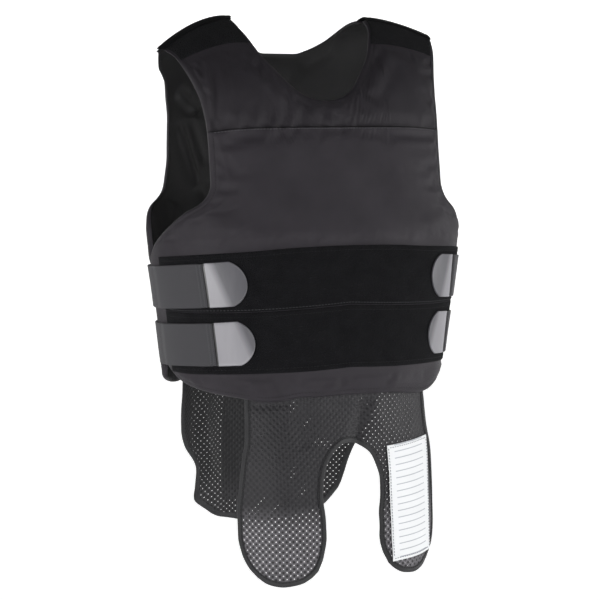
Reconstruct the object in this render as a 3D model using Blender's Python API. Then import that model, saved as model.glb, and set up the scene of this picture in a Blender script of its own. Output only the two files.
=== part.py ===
"""A soft body armour vest in its worn form, as separate sewn pieces.

Padded front and back carriers, shoulder straps on loop patches, two loop bands across the belly, four
elastic side straps with hook tabs, and perforated mesh tails with a bound edge. Metres, +Z up, the front
faces -Y and the wearer's left side lies at +X. The origin lies midway between the undersides of the two
shoulder straps, where the vest hangs on the shoulders.

Every piece lies on one surface, the wearer's shape under the cloth. A place on it is given by pattern
coordinates: across, the length of cloth from the centre line of the front or of the back, and height, the
height above the origin, counted along the cloth where it bends over the shoulder. Lift is the distance out
of that surface.
"""

import bpy
import numpy as np

# Layers, from the wearer outwards
PANEL_THICK = 0.0090
PANEL_RIM = 0.0040
PANEL_EDGE_ROUND = 0.014
SHOULDER_TAPER_TOP = -0.015
SHOULDER_TAPER_BOTTOM = -0.080
LAYER_GAP = 0.0006
SHOULDER_GAP = 0.0011
BAND_THICK = 0.0011
STRAP_THICK = 0.0014
PATCH_THICK = 0.0011
SHOULDER_STRAP_THICK = 0.0018
MESH_THICK = 0.0010
TAPE_THICK = 0.0007
TAPE_WIDTH = 0.0095
TAPE_GAP = 0.0006
TAPE_LIFT = -0.0007
LABEL_THICK = 0.0004

# Shoulders: how far their outer ends fall below their inner ends, a little further on the wearer's right
RIDGE_HEIGHT = 0.030
RIDGE_INNER = 0.089
RIDGE_OUTER = 0.172
RIDGE_FALL_RIGHT = 0.037
RIDGE_FALL_LEFT = 0.022
RIDGE_BEND = 1.7
RIDGE_FALL_TOP = 0.006
RIDGE_FALL_BOTTOM = -0.164
PANEL_TOP = 0.024

# Sides: the back panel's wing stops short of the front panel's side edge
SIDE_GAP = 0.009
SIDE_BOTTOM = -0.375
SIDE_TOP = -0.262
STRAP_HALF = 0.0242
STRAP_JOINT_GAP = 0.0004
TAB_TIP_ROUND = 0.0165
TAB_BLUNT = 16
STRAP_BACK_END = 0.112
BAND_END = 0.221
BAND_STEP = 0.016

# Tails: how far they reach up inside the panels, and the slow waves they hang in below the hem
TAIL_TOP = -0.388
BACK_TAIL_TOP = -0.386
WAVE_TOP = -0.405
WAVE_FULL = -0.555
BACK_WAVE = -0.004
BACK_WAVE_HALF = 0.10
FRONT_WAVE = 0.003
FRONT_WAVE_HALF = 0.06
LOBE_MIDDLE = 0.08


def table(names, *rows):
    """A table with named columns: one array for each name."""
    return dict(zip(names.split(), np.array(rows, dtype=float).T))


# The wearer's shape, a row for each height: z, half width, depth of the front and back from the origin's
# plane, how far forward the widest line lies, and how square each half of the section is
BODY = table(
    "height  z       half_width front   back    side_line front_square back_square",
    (0.030,  0.0100, 0.215,     0.000,  0.000,  0.058,    2.40,        2.40),
    (0.018,  0.0080, 0.215,     0.009,  0.009,  0.050,    2.40,        2.40),
    (0.006,  0.0025, 0.214,     0.021,  0.018,  0.040,    2.40,        2.40),
    (-0.009, -0.008, 0.213,     0.035,  0.028,  0.030,    2.40,        2.40),
    (-0.029, -0.028, 0.211,     0.052,  0.040,  0.022,    2.40,        2.40),
    (-0.074, -0.074, 0.206,     0.079,  0.062,  0.018,    2.40,        2.40),
    (-0.114, -0.114, 0.199,     0.095,  0.074,  0.019,    2.40,        2.35),
    (-0.174, -0.174, 0.190,     0.110,  0.082,  0.022,    2.40,        2.15),
    (-0.234, -0.234, 0.185,     0.126,  0.081,  0.029,    2.30,        1.90),
    (-0.294, -0.294, 0.1755,    0.139,  0.079,  0.026,    2.25,        1.80),
    (-0.364, -0.364, 0.1645,    0.146,  0.077,  0.018,    2.25,        1.80),
    (-0.424, -0.424, 0.157,     0.148,  0.078,  0.016,    2.25,        1.90),
    (-0.494, -0.494, 0.158,     0.156,  0.078,  0.016,    2.40,        2.40),
    (-0.694, -0.694, 0.160,     0.172,  0.078,  0.016,    2.40,        2.60),
)

# Half outlines of the two panels: hem from the centre to the lower corner, side and armhole up to the
# shoulder, and neckline from the centre to the shoulder
FRONT_HEM = table(
    "across height",
    (0.000, -0.410), (0.055, -0.4115), (0.100, -0.413), (0.145, -0.4095),
    (0.181, -0.404), (0.204, -0.398), (0.226, -0.387),
)
FRONT_SIDE = table(
    "across height",
    (0.226, -0.387), (0.241, -0.373), (0.249, -0.352), (0.253, -0.325), (0.254, -0.300), (0.252, -0.280),
    (0.245, -0.263), (0.230, -0.246), (0.205, -0.228), (0.176, -0.207), (0.158, -0.197), (0.149, -0.188),
    (0.1445, -0.176), (0.144, -0.160), (0.1435, -0.114), (0.1455, -0.080), (0.149, -0.062), (0.156, -0.034),
    (0.164, -0.006), (0.172, PANEL_TOP),
)
FRONT_NECK = table(
    "across height",
    (0.000, -0.084), (0.012, -0.0825), (0.021, -0.080), (0.035, -0.0715), (0.052, -0.0525), (0.068, -0.0315),
    (0.076, -0.016), (0.0825, -0.001), (0.087, PANEL_TOP),
)
BACK_HEM = table(
    "across height",
    (0.000, -0.404), (0.080, -0.404), (0.130, -0.402), (0.158, -0.398), (0.176, -0.389),
)
BACK_ARMHOLE = table(
    "across height",
    (0.205, -0.245), (0.204, -0.229), (0.196, -0.213), (0.180, -0.2015), (0.161, -0.1935), (0.149, -0.184),
    (0.1430, -0.169), (0.1380, -0.146), (0.1372, -0.104), (0.1415, -0.076), (0.147, -0.052), (0.152, -0.042),
    (0.159, -0.028), (0.167, 0.008), (0.170, PANEL_TOP),
)
BACK_NECK = table(
    "across height",
    (0.000, -0.028), (0.020, -0.028), (0.034, -0.024), (0.054, -0.014), (0.066, -0.002), (0.075, 0.012),
    (0.084, PANEL_TOP),
)

# Loop bands: top edge, seam between the two and bottom edge
BAND = table(
    "across top     seam    bottom",
    (0.000, -0.2460, -0.3100, -0.3785),
    (0.055, -0.2470, -0.3130, -0.3810),
    (0.110, -0.2500, -0.3150, -0.3825),
    (0.150, -0.2515, -0.3155, -0.3840),
    (0.190, -0.2535, -0.3160, -0.3860),
    (0.221, -0.2560, -0.3160, -0.3860),
)

# Side straps: middle line from the tab's tip, on the front, to past the side
STRAPS = {
    "upper": {"tip": 0.114, "joint": 0.156},
    "lower": {"tip": 0.107, "joint": 0.148},
}
STRAP_MIDDLE = table(
    "across upper    lower",
    (0.107, -0.2826, -0.3475),
    (0.150, -0.2849, -0.3502),
    (0.190, -0.2870, -0.3525),
    (0.237, -0.2906, -0.3564),
    (0.300, -0.2930, -0.3590),
    (0.400, -0.2940, -0.3600),
)

# Shoulder patches on the front: inner and outer edge
SHOULDER_PATCH = table(
    "height inner outer",
    (-0.021, 0.0760, 0.1570), (0.000, 0.0850, 0.1630), (0.020, 0.0890, 0.1690),
)
# Shoulder straps, from their seam on the back panel over the ridge to their front end
SHOULDER_STRAP_BACK = table(
    "height inner outer",
    (-0.030, 0.0840, 0.1500), (0.000, 0.0870, 0.1600), (RIDGE_HEIGHT, 0.0890, 0.1690),
)
SHOULDER_STRAP_FRONT = table(
    "height inner outer",
    (RIDGE_HEIGHT, 0.0890, 0.1690), (0.014, 0.0885, 0.1675), (0.002, 0.0865, 0.1640),
)

# Half outlines of the tails' finished edge
FRONT_TAIL_OUTER = table(
    "across height",
    (0.121, TAIL_TOP), (0.121, -0.430), (0.122, -0.455), (0.128, -0.482), (0.133, -0.511), (0.137, -0.540),
    (0.137, -0.566), (0.133, -0.585), (0.124, -0.601), (0.113, -0.610),
)
FRONT_TAIL_BOTTOM = table(
    "across height",
    (0.113, -0.610), (0.098, -0.617), (0.082, -0.620), (0.066, -0.618), (0.054, -0.612), (0.045, -0.604),
)
FRONT_TAIL_INNER = table(
    "across height",
    (0.045, -0.604), (0.037, -0.588), (0.034, -0.570), (0.034, -0.550), (0.0365, -0.525), (0.0355, -0.507),
    (0.031, -0.491), (0.024, -0.479), (0.015, -0.470), (0.006, -0.4645), (0.000, -0.464),
)
BACK_TAIL_SIDE = table(
    "across height",
    (0.142, BACK_TAIL_TOP), (0.142, -0.435), (0.135, -0.472), (0.125, -0.492), (0.114, -0.510),
    (0.106, -0.530), (0.101, -0.547), (0.095, -0.563), (0.086, -0.575),
)
BACK_TAIL_BOTTOM = table(
    "across height",
    (0.086, -0.575), (0.076, -0.585), (0.064, -0.591), (0.035, -0.596), (0.000, -0.597),
)
BACK_TAIL_PATCH = {"left": -0.062, "right": 0.028, "top": -0.412, "bottom": -0.570}
LABEL = {"inner_top": (0.048, -0.472), "outer_top": (0.117, -0.468),
         "outer_bottom": (0.121, -0.601), "inner_bottom": (0.050, -0.603)}

# How many points a piece has along its directions
POINTS = {
    "strap": 19, "tab_round": 6, "tab_straight": 4, "strap_up": 3, "band": 37, "band_up": 4,
    "patch": 7, "patch_up": 8, "shoulder": 6, "shoulder_rear": 9, "shoulder_fore": 6,
    "back_patch": 8, "back_patch_up": 7, "label": 5, "label_up": 8,
}
TAIL_POINTS = {"outer": 12, "low": 7, "inner": 13, "centre": 5, "back_side": 11, "back_low": 12}
PANEL_COLUMNS = 14
PANEL_NECK_COLUMNS = 9
PANEL_ROWS = 18
# Shares of a panel's width and height at which its grid has a line near the edge, for the rounded rim
EDGE_STEPS = (0.020, 0.055)
ROW_STEPS = (0.012, 0.033)
SECTION_SAMPLES = 181
OUTLINE_POINTS = 300

COLOURS = {
    "nylon": (0.040, 0.037, 0.041, 1), "loop": (0.012, 0.012, 0.014, 1), "elastic": (0.080, 0.080, 0.088, 1),
    "hook": (0.220, 0.220, 0.225, 1), "mesh": (0.030, 0.030, 0.033, 1), "tape": (0.035, 0.035, 0.038, 1),
    "label": (0.780, 0.790, 0.800, 1),
}
ROUGHNESS = {"nylon": 0.75, "loop": 0.95, "elastic": 0.8, "hook": 0.4, "mesh": 0.8, "tape": 0.7, "label": 0.6}


def smooth(x, y, at):
    """A smooth curve through a table's rows, without overshoot: cubic between rows, with slopes that are
    the harmonic mean of the two sides' slopes."""
    order = np.argsort(x)
    x, y = x[order], y[order]
    step = np.diff(x)
    slope = np.diff(y) / step
    mean = np.zeros_like(y)
    same = slope[:-1] * slope[1:] > 0
    total = np.where(same, slope[:-1] + slope[1:], 1.0)
    mean[1:-1] = np.where(same, 2 * slope[:-1] * slope[1:] / total, 0.0)
    mean[0], mean[-1] = slope[0], slope[-1]
    at = np.clip(at, x[0], x[-1])
    k = np.clip(np.searchsorted(x, at) - 1, 0, len(x) - 2)
    h = step[k]
    t = (at - x[k]) / h
    return ((2 * t**3 - 3 * t**2 + 1) * y[k] + (t**3 - 2 * t**2 + t) * h * mean[k]
            + (3 * t**2 - 2 * t**3) * y[k + 1] + (t**3 - t**2) * h * mean[k + 1])


def ramp(value, start, end):
    """0 at start, 1 at end, with a smooth step between."""
    t = np.clip((value - start) / (end - start), 0, 1)
    return t * t * (3 - 2 * t)


def section(height):
    """Half of the wearer's section at each height, from the front's centre line round to the back's: a
    superellipse for each quarter, with its length along the cloth."""
    row = {name: smooth(BODY["height"], column, height)[:, None] for name, column in BODY.items()}
    angle = np.linspace(0, np.pi, SECTION_SAMPLES)[None, :]
    cosine = np.cos(angle)
    ahead = cosine >= 0
    power = 2 / np.where(ahead, row["front_square"], row["back_square"])
    reach = np.where(ahead, row["front"] - row["side_line"], row["back"] + row["side_line"])
    x = row["half_width"] * np.abs(np.sin(angle)) ** power
    y = -row["side_line"] - reach * np.sign(cosine) * np.abs(cosine) ** power
    length = np.cumsum(np.hypot(np.diff(x, axis=1), np.diff(y, axis=1)), axis=1)
    length = np.concatenate([np.zeros((len(length), 1)), length], axis=1)
    return x, y, length, row["z"][:, 0]


def half_girth(height):
    """The length of cloth from the front's centre line to the back's at a height."""
    height = np.asarray(height, dtype=float)
    return section(height.ravel())[2][:, -1].reshape(height.shape)


def body_places(around, height, fall):
    """Places on the wearer's shape, around being the length of cloth from the front's centre line."""
    x, y, length, z = section(height)
    row = np.arange(len(height))
    k = np.clip((length < around[:, None]).sum(axis=1) - 1, 0, SECTION_SAMPLES - 2)
    part = (around - length[row, k]) / (length[row, k + 1] - length[row, k])
    px = x[row, k] * (1 - part) + x[row, k + 1] * part
    py = y[row, k] * (1 - part) + y[row, k + 1] * part
    outward = np.clip((px - RIDGE_INNER) / (RIDGE_OUTER - RIDGE_INNER), 0, 1.3) ** RIDGE_BEND
    near_top = np.clip((height - RIDGE_FALL_BOTTOM) / (RIDGE_FALL_TOP - RIDGE_FALL_BOTTOM), 0, 1) ** 1.5
    return np.stack([px, py, z - fall * outward * near_top], axis=-1)


def place(across, height, lift, back=False):
    """Pattern coordinates to points in space. A minus sign on across means the wearer's right side."""
    across, height, lift = np.broadcast_arrays(np.asarray(across, float), height, lift)
    shape = across.shape
    a, h, up = np.abs(across).ravel(), height.ravel(), lift.ravel()
    if back:
        a = half_girth(h) - a
    right = across.ravel() < 0
    fall = np.where(right, RIDGE_FALL_RIGHT, RIDGE_FALL_LEFT)
    step = 0.0015
    ds = body_places(a + step, h, fall) - body_places(a - step, h, fall)
    dt = body_places(a, h + step, fall) - body_places(a, h - step, fall)
    normal = np.cross(ds, dt)
    normal /= np.linalg.norm(normal, axis=1, keepdims=True)
    points = body_places(a, h, fall) + normal * up[:, None]
    points[:, 0] *= np.where(right, -1, 1)
    return points.reshape(shape + (3,))


def curve(outline, count):
    """An outline's rows as a smooth curve: count points at equal lengths along it."""
    rows = np.stack([outline["across"], outline["height"]], axis=-1)
    chord = np.concatenate([[0], np.cumsum(np.linalg.norm(np.diff(rows, axis=0), axis=1))])
    fine = np.linspace(0, chord[-1], 40 * len(rows))
    points = np.stack([smooth(chord, rows[:, 0], fine), smooth(chord, rows[:, 1], fine)], axis=-1)
    return evenly(points, np.linspace(0, 1, count))


def evenly(points, shares):
    """Points at the given shares of a polyline's length."""
    length = np.concatenate([[0], np.cumsum(np.linalg.norm(np.diff(points, axis=0), axis=1))])
    at = np.asarray(shares) * length[-1]
    return np.stack([np.interp(at, length, points[:, 0]), np.interp(at, length, points[:, 1])], axis=-1)


def patch(bottom, top, inner, outer):
    """A grid between four border curves that meet at the corners: the sum of the two ruled surfaces less
    the surface through the corners. Rows run from bottom to top, columns from inner to outer."""
    u = np.linspace(0, 1, len(bottom))[None, :, None]
    v = np.linspace(0, 1, len(inner))[:, None, None]
    ruled = (1 - v) * bottom[None] + v * top[None] + (1 - u) * inner[:, None] + u * outer[:, None]
    corners = ((1 - u) * (1 - v) * bottom[0] + u * (1 - v) * bottom[-1] + (1 - u) * v * top[0]
               + u * v * top[-1])
    return ruled - corners


def quads(rows, columns):
    """Corner numbers of the faces of a grid of points."""
    index = np.arange(rows * columns).reshape(rows, columns)
    return np.stack([index[:-1, :-1], index[:-1, 1:], index[1:, 1:], index[1:, :-1]], axis=-1).reshape(-1, 4)


def material(finish):
    """The Principled material of a finish, made once."""
    found = bpy.data.materials.get(finish)
    if found:
        return found
    made = bpy.data.materials.new(finish)
    made.use_nodes = True
    shader = made.node_tree.nodes["Principled BSDF"]
    shader.inputs["Base Color"].default_value = COLOURS[finish]
    shader.inputs["Roughness"].default_value = ROUGHNESS[finish]
    shader.inputs["Metallic"].default_value = 0.0
    return made


def add_object(name, points, faces, finish):
    """A named object from points and faces, turned so that its faces point outwards. A face keeps its first
    corner when it is turned, so that both layers of a sheet fold along the same diagonals."""
    corners = [points[face[k]] for face in faces for k in range(3)]
    corners = np.array(corners).reshape(-1, 3, 3)
    fans = [(face[0], face[2], face[3]) for face in faces if len(face) == 4]
    if fans:
        corners = np.concatenate([corners, points[np.array(fans)]])
    volume = np.einsum("ij,ij->i", corners[:, 0], np.cross(corners[:, 1], corners[:, 2])).sum()
    if volume < 0:
        faces = [face[:1] + face[:0:-1] for face in faces]
    mesh = bpy.data.meshes.new(name)
    mesh.from_pydata([tuple(p) for p in points], [], [tuple(int(k) for k in face) for face in faces])
    mesh.materials.append(material(finish))
    mesh.shade_smooth()
    mesh.set_sharp_from_angle(angle=np.radians(40))
    made = bpy.data.objects.new(name, mesh)
    bpy.context.collection.objects.link(made)
    return made


def sheet(name, top, under, faces, finish):
    """A closed solid between two layers of points that share their faces, walled along the open edges."""
    count = len(top)
    edges = np.concatenate([faces[:, [0, 1]], faces[:, [1, 2]], faces[:, [2, 3]], faces[:, [3, 0]]])
    keys = {tuple(edge) for edge in edges.tolist()}
    border = [edge for edge in edges.tolist() if (edge[1], edge[0]) not in keys]
    solid = [tuple(face) for face in faces.tolist()]
    solid += [tuple(count + k for k in (a, d, c, b)) for a, b, c, d in faces.tolist()]
    solid += [(b, a, a + count, b + count) for a, b in border]
    return add_object(name, np.concatenate([top, under]), solid, finish)


def layer(name, pattern, lift, thick, finish, back=False):
    """A sheet from a grid of pattern coordinates, its underside at lift."""
    rows, columns = pattern.shape[:2]
    lift = np.broadcast_to(lift, (rows, columns))
    top = place(pattern[..., 0], pattern[..., 1], lift + thick, back).reshape(-1, 3)
    under = place(pattern[..., 0], pattern[..., 1], lift, back).reshape(-1, 3)
    return sheet(name, top, under, quads(rows, columns), finish)


def mirrored(grid):
    """A half grid from the centre line outwards, made whole."""
    left = grid[:, :0:-1] * (-1, 1)
    return np.concatenate([left, grid], axis=1)


def full_thickness(height):
    """The thickness of a panel away from its outline: thin over the shoulder, where it holds no pad."""
    return PANEL_THICK + (PANEL_RIM - PANEL_THICK) * ramp(height, SHOULDER_TAPER_BOTTOM, SHOULDER_TAPER_TOP)


def padded_thickness(pattern, outline):
    """The thickness of a panel at each place, rounded off towards its outline."""
    distance = np.linalg.norm(pattern[..., None, :] - outline, axis=-1).min(axis=-1)
    inward = np.clip(distance / PANEL_EDGE_ROUND, 0, 1)
    crown = np.sqrt(1 - (1 - inward) ** 2)
    return PANEL_RIM + (full_thickness(pattern[..., 1]) - PANEL_RIM) * crown


def panel(name, hem, side, neck, back):
    """A padded carrier from its half outline."""
    columns = np.concatenate([np.linspace(0, 1 - EDGE_STEPS[1], PANEL_COLUMNS - 1), [1 - EDGE_STEPS[0], 1]])
    below, above = (0, ROW_STEPS[0]), (1 - ROW_STEPS[0], 1)
    rows = np.concatenate([below, np.linspace(ROW_STEPS[1], 1 - ROW_STEPS[1], PANEL_ROWS - 3), above])
    hem_line, side_line, neck_line = (curve(outline, OUTLINE_POINTS) for outline in (hem, side, neck))
    ridge_line = np.linspace(neck_line[-1], side_line[-1], OUTLINE_POINTS)
    bottom = evenly(hem_line, columns)
    neck_part = evenly(neck_line, np.linspace(0, 1, PANEL_NECK_COLUMNS + 1))
    ridge_part = evenly(ridge_line, np.linspace(0, 1, len(columns) - PANEL_NECK_COLUMNS))
    top = np.concatenate([neck_part, ridge_part[1:]])
    inner = evenly(np.array([hem_line[0], neck_line[0]]), rows)
    outer = evenly(side_line, rows)
    pattern = mirrored(patch(bottom, top, inner, outer))
    half = np.concatenate([hem_line, side_line, ridge_line, neck_line])
    outline = np.concatenate([half, half * (-1, 1)])
    thick = padded_thickness(pattern, outline)
    return layer(name, pattern, 0.0, thick, "nylon", back)


def back_side():
    """The back panel's side edge: the cloth left over by the front panel's, less the gap at the side,
    between its lower corner and the start of its armhole."""
    front = curve(FRONT_SIDE, OUTLINE_POINTS)
    height = np.linspace(SIDE_BOTTOM, SIDE_TOP, 7)
    rising = front[: np.argmax(front[:, 1] > SIDE_TOP)]
    across = half_girth(height) - np.interp(height, rising[:, 1], rising[:, 0]) - SIDE_GAP
    return {"across": np.concatenate([BACK_HEM["across"][-1:], across, BACK_ARMHOLE["across"]]),
            "height": np.concatenate([BACK_HEM["height"][-1:], height, BACK_ARMHOLE["height"]])}


def strap_lift(across):
    """The underside of a side strap: on the panels, and higher over the loop bands."""
    on_band = PANEL_THICK + BAND_THICK + 2 * LAYER_GAP
    on_panel = PANEL_THICK + LAYER_GAP
    return on_band + (on_panel - on_band) * ramp(across, BAND_END + 0.003, BAND_END + BAND_STEP)


def side_strap(level, side):
    """An elastic strap and its hook tab, on one side of the vest."""
    strap = STRAPS[level]
    sign = -1 if side == "right" else 1
    line = STRAP_MIDDLE[level]
    end = float(half_girth(line[-1:])[0]) - STRAP_BACK_END
    along = np.linspace(strap["joint"] + STRAP_JOINT_GAP, end, POINTS["strap"])
    strip(f"strap_{level}_{side}", along, line, np.full(along.shape, STRAP_HALF), sign, "elastic")
    turn = np.radians(np.linspace(TAB_BLUNT, 90, POINTS["tab_round"]))
    round_end = strap["tip"] + TAB_TIP_ROUND * (1 - np.cos(turn))
    straight = np.linspace(round_end[-1], strap["joint"] - STRAP_JOINT_GAP, POINTS["tab_straight"])[1:]
    half = np.concatenate([STRAP_HALF * np.sin(turn), np.full(straight.shape, STRAP_HALF)])
    strip(f"tab_{level}_{side}", np.concatenate([round_end, straight]), line, half, sign, "hook")


def strip(name, along, line, half, sign, finish):
    """A flat strip round the side: its middle line, half widths and the layer that carries it."""
    middle = smooth(STRAP_MIDDLE["across"], line, along)
    share = np.linspace(-1, 1, POINTS["strap_up"])[:, None]
    height = middle[None] + share * half[None]
    around = np.broadcast_to(along, height.shape)
    lift = strap_lift(around)
    top = place(around * sign, height, lift + STRAP_THICK).reshape(-1, 3)
    under = place(around * sign, height, lift).reshape(-1, 3)
    sheet(name, top, under, quads(*height.shape), finish)


def loop_band(name, upper, lower):
    """A strip of loop pile across the belly, between two of the band table's lines."""
    across = np.linspace(-BAND_END, BAND_END, POINTS["band"])
    low = smooth(BAND["across"], BAND[lower], np.abs(across))
    high = smooth(BAND["across"], BAND[upper], np.abs(across))
    if lower == "seam":
        low = low + TAPE_GAP
    height = low + np.linspace(0, 1, POINTS["band_up"])[:, None] * (high - low)
    pattern = np.stack([np.broadcast_to(across, height.shape), height], axis=-1)
    layer(name, pattern, PANEL_THICK + LAYER_GAP, BAND_THICK, "loop")


def shoulder_patch(side):
    """The loop patch on the front of one shoulder."""
    sign = -1 if side == "right" else 1
    height = np.linspace(SHOULDER_PATCH["height"][0], SHOULDER_PATCH["height"][-1], POINTS["patch_up"])
    pattern = between(SHOULDER_PATCH, height, POINTS["patch"]) * (sign, 1)
    lift = full_thickness(pattern[..., 1]) + SHOULDER_GAP
    layer(f"shoulder_patch_{side}", pattern, lift, PATCH_THICK, "loop")


def between(edges, height, columns):
    """A grid between the inner and outer edge of a table, at the given heights."""
    inner = smooth(edges["height"], edges["inner"], height)[:, None]
    outer = smooth(edges["height"], edges["outer"], height)[:, None]
    across = inner + (outer - inner) * np.linspace(0, 1, columns)
    return np.stack([across, np.broadcast_to(height[:, None], across.shape)], axis=-1)


def shoulder_strap(side):
    """A strap from its seam on the back panel, over the shoulder, down onto the loop patch."""
    sign = -1 if side == "right" else 1
    seam, end = SHOULDER_STRAP_BACK["height"][0], SHOULDER_STRAP_FRONT["height"][-1]
    columns = POINTS["shoulder"]
    back_heights = np.linspace(seam, RIDGE_HEIGHT, POINTS["shoulder_rear"])
    front_heights = np.linspace(RIDGE_HEIGHT, end, POINTS["shoulder_fore"])[1:]
    back_grid = between(SHOULDER_STRAP_BACK, back_heights, columns)
    front_grid = between(SHOULDER_STRAP_FRONT, front_heights, columns)
    over_patch = PATCH_THICK + LAYER_GAP
    back_lift = full_thickness(back_grid[..., 1]) + SHOULDER_GAP
    back_lift += over_patch * ramp(back_grid[..., 1], -0.005, RIDGE_HEIGHT)
    front_lift = full_thickness(front_grid[..., 1]) + SHOULDER_GAP + over_patch
    layers = []
    for extra in (SHOULDER_STRAP_THICK, 0.0):
        rear = place(back_grid[..., 0] * sign, back_grid[..., 1], back_lift + extra, back=True)
        fore = place(front_grid[..., 0] * sign, front_grid[..., 1], front_lift + extra)
        layers.append(np.concatenate([rear, fore]).reshape(-1, 3))
    faces = quads(len(back_grid) + len(front_grid), columns)
    sheet(f"shoulder_strap_{side}", layers[0], layers[1], faces, "nylon")


def inset(line, distance):
    """A line moved towards the cloth, which lies on its left."""
    along = np.gradient(line, axis=0)
    along /= np.linalg.norm(along, axis=1, keepdims=True)
    return line + np.stack([-along[:, 1], along[:, 0]], axis=-1) * distance


def tail_drape(across, height, back):
    """How far a tail hangs off the wearer's surface: in slow waves that grow below the hem."""
    grown = ramp(height, WAVE_TOP, WAVE_FULL)
    if back:
        return BACK_WAVE * grown * np.cos(across * np.pi / BACK_WAVE_HALF)
    return FRONT_WAVE * grown * np.cos((np.abs(across) - LOBE_MIDDLE) * np.pi / FRONT_WAVE_HALF)


def tail_place(line, lift, back):
    """Points of a tail at a lift from its own hanging surface."""
    hang = tail_drape(line[..., 0], line[..., 1], back)
    return place(line[..., 0], line[..., 1], lift + hang, back)


def binding(name, line, back):
    """Tape folded over a tail's edge: a channel of eight corners carried along the edge, which runs with
    the cloth on its left."""
    back_leg = TAPE_LIFT - 2 * TAPE_THICK - 2 * TAPE_GAP - MESH_THICK
    corners = (
        (TAPE_WIDTH, TAPE_LIFT), (0, TAPE_LIFT), (0, back_leg), (TAPE_WIDTH, back_leg),
        (TAPE_WIDTH, back_leg + TAPE_THICK), (TAPE_THICK, back_leg + TAPE_THICK),
        (TAPE_THICK, TAPE_LIFT - TAPE_THICK), (TAPE_WIDTH, TAPE_LIFT - TAPE_THICK),
    )
    rings = np.stack([tail_place(inset(line, depth), lift, back) for depth, lift in corners], axis=1)
    count = len(corners)
    index = np.arange(len(line) * count).reshape(len(line), count)
    ahead = np.roll(index, -1, axis=1)
    sides = np.stack([index[:-1], ahead[:-1], ahead[1:], index[1:]], axis=-1).reshape(-1, 4)
    faces = [tuple(face) for face in sides.tolist()]
    faces += [tuple(face) for face in ((0, 7, 6, 1), (1, 6, 5, 2), (2, 5, 4, 3))]
    last = index[-1]
    faces += [tuple(last[list(face)]) for face in ((0, 1, 6, 7), (1, 2, 5, 6), (2, 3, 4, 5))]
    add_object(name, rings.reshape(-1, 3), faces, "tape")


def tail_edge(*outlines):
    """The whole finished edge of a tail, from its outer top corner on the wearer's left round to the right:
    the half outlines with their counts, joined and mirrored."""
    parts = [curve(outline, count) for outline, count in outlines]
    half = np.concatenate([parts[0]] + [part[1:] for part in parts[1:]])
    return np.concatenate([half, (half * (-1, 1))[-2::-1]])


def cut_edge(edge, top):
    """The edge of the mesh cloth inside its tape, straight along the top."""
    cut = inset(edge[::-1], TAPE_THICK + TAPE_GAP)[::-1]
    cut[[0, -1], 1] = top
    return cut


def front_tail():
    """The split mesh tail of the front: two lobes below one yoke."""
    outer, low, inner, centre = (TAIL_POINTS[name] for name in ("outer", "low", "inner", "centre"))
    edge = tail_edge((FRONT_TAIL_OUTER, outer), (FRONT_TAIL_BOTTOM, low), (FRONT_TAIL_INNER, inner))
    binding("front_tail_binding", edge[::-1], back=False)
    cut = cut_edge(edge, TAIL_TOP)[: (len(edge) + 1) // 2]
    cut[-1, 0] = 0.0
    bottom_side = cut[outer - 1 : outer + low - 1][::-1]
    middle = np.linspace(cut[-1], (0.0, TAIL_TOP), centre + 1)[1:]
    inner_side = np.concatenate([cut[outer + low - 2 :], middle])
    rows = len(inner_side)
    outer_side = evenly(cut[:outer][::-1], np.linspace(0, 1, rows))
    top = np.linspace((0.0, TAIL_TOP), cut[0], low)
    half = patch(bottom_side, top, inner_side, outer_side).reshape(-1, 2)
    faces = quads(rows, low)
    twin = np.arange(len(half)) + len(half)
    shared = np.arange(inner - 1, rows) * low
    twin[shared] = shared
    pattern = np.concatenate([half, half * (-1, 1)])
    faces = np.concatenate([faces, twin[faces][:, ::-1]])
    used, faces = np.unique(faces, return_inverse=True)
    mesh_sheet("front_tail", pattern[used], faces.reshape(-1, 4), back=False)


def mesh_sheet(name, pattern, faces, back):
    """The perforated cloth of a tail as one thin sheet between the legs of its tape."""
    top_lift = TAPE_LIFT - TAPE_THICK - TAPE_GAP
    top = tail_place(pattern, top_lift, back)
    under = tail_place(pattern, top_lift - MESH_THICK, back)
    sheet(name, top, under, faces, "mesh")


def back_tail():
    """The longer mesh tail of the back."""
    side, low = TAIL_POINTS["back_side"], TAIL_POINTS["back_low"]
    edge = tail_edge((BACK_TAIL_SIDE, side), (BACK_TAIL_BOTTOM, low))
    binding("back_tail_binding", edge[::-1], back=True)
    cut = cut_edge(edge, BACK_TAIL_TOP)
    right = cut[:side][::-1]
    bottom = cut[side - 1 : len(cut) - side + 1][::-1]
    left = cut[len(cut) - side :]
    top = np.linspace(cut[-1], cut[0], len(bottom))
    pattern = patch(bottom, top, left, right)
    mesh_sheet("back_tail", pattern.reshape(-1, 2), quads(*pattern.shape[:2]), back=True)


def back_tail_patch():
    """The plain patch sewn to the inner face of the back tail."""
    across = np.linspace(BACK_TAIL_PATCH["left"], BACK_TAIL_PATCH["right"], POINTS["back_patch"])
    height = np.linspace(BACK_TAIL_PATCH["bottom"], BACK_TAIL_PATCH["top"], POINTS["back_patch_up"])
    pattern = np.stack(np.meshgrid(across, height), axis=-1)
    top_lift = TAPE_LIFT - TAPE_THICK - MESH_THICK - 2 * TAPE_GAP
    top = tail_place(pattern, top_lift, True).reshape(-1, 3)
    under = tail_place(pattern, top_lift - TAPE_THICK, True).reshape(-1, 3)
    sheet("back_tail_patch", top, under, quads(*pattern.shape[:2]), "nylon")


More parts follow.
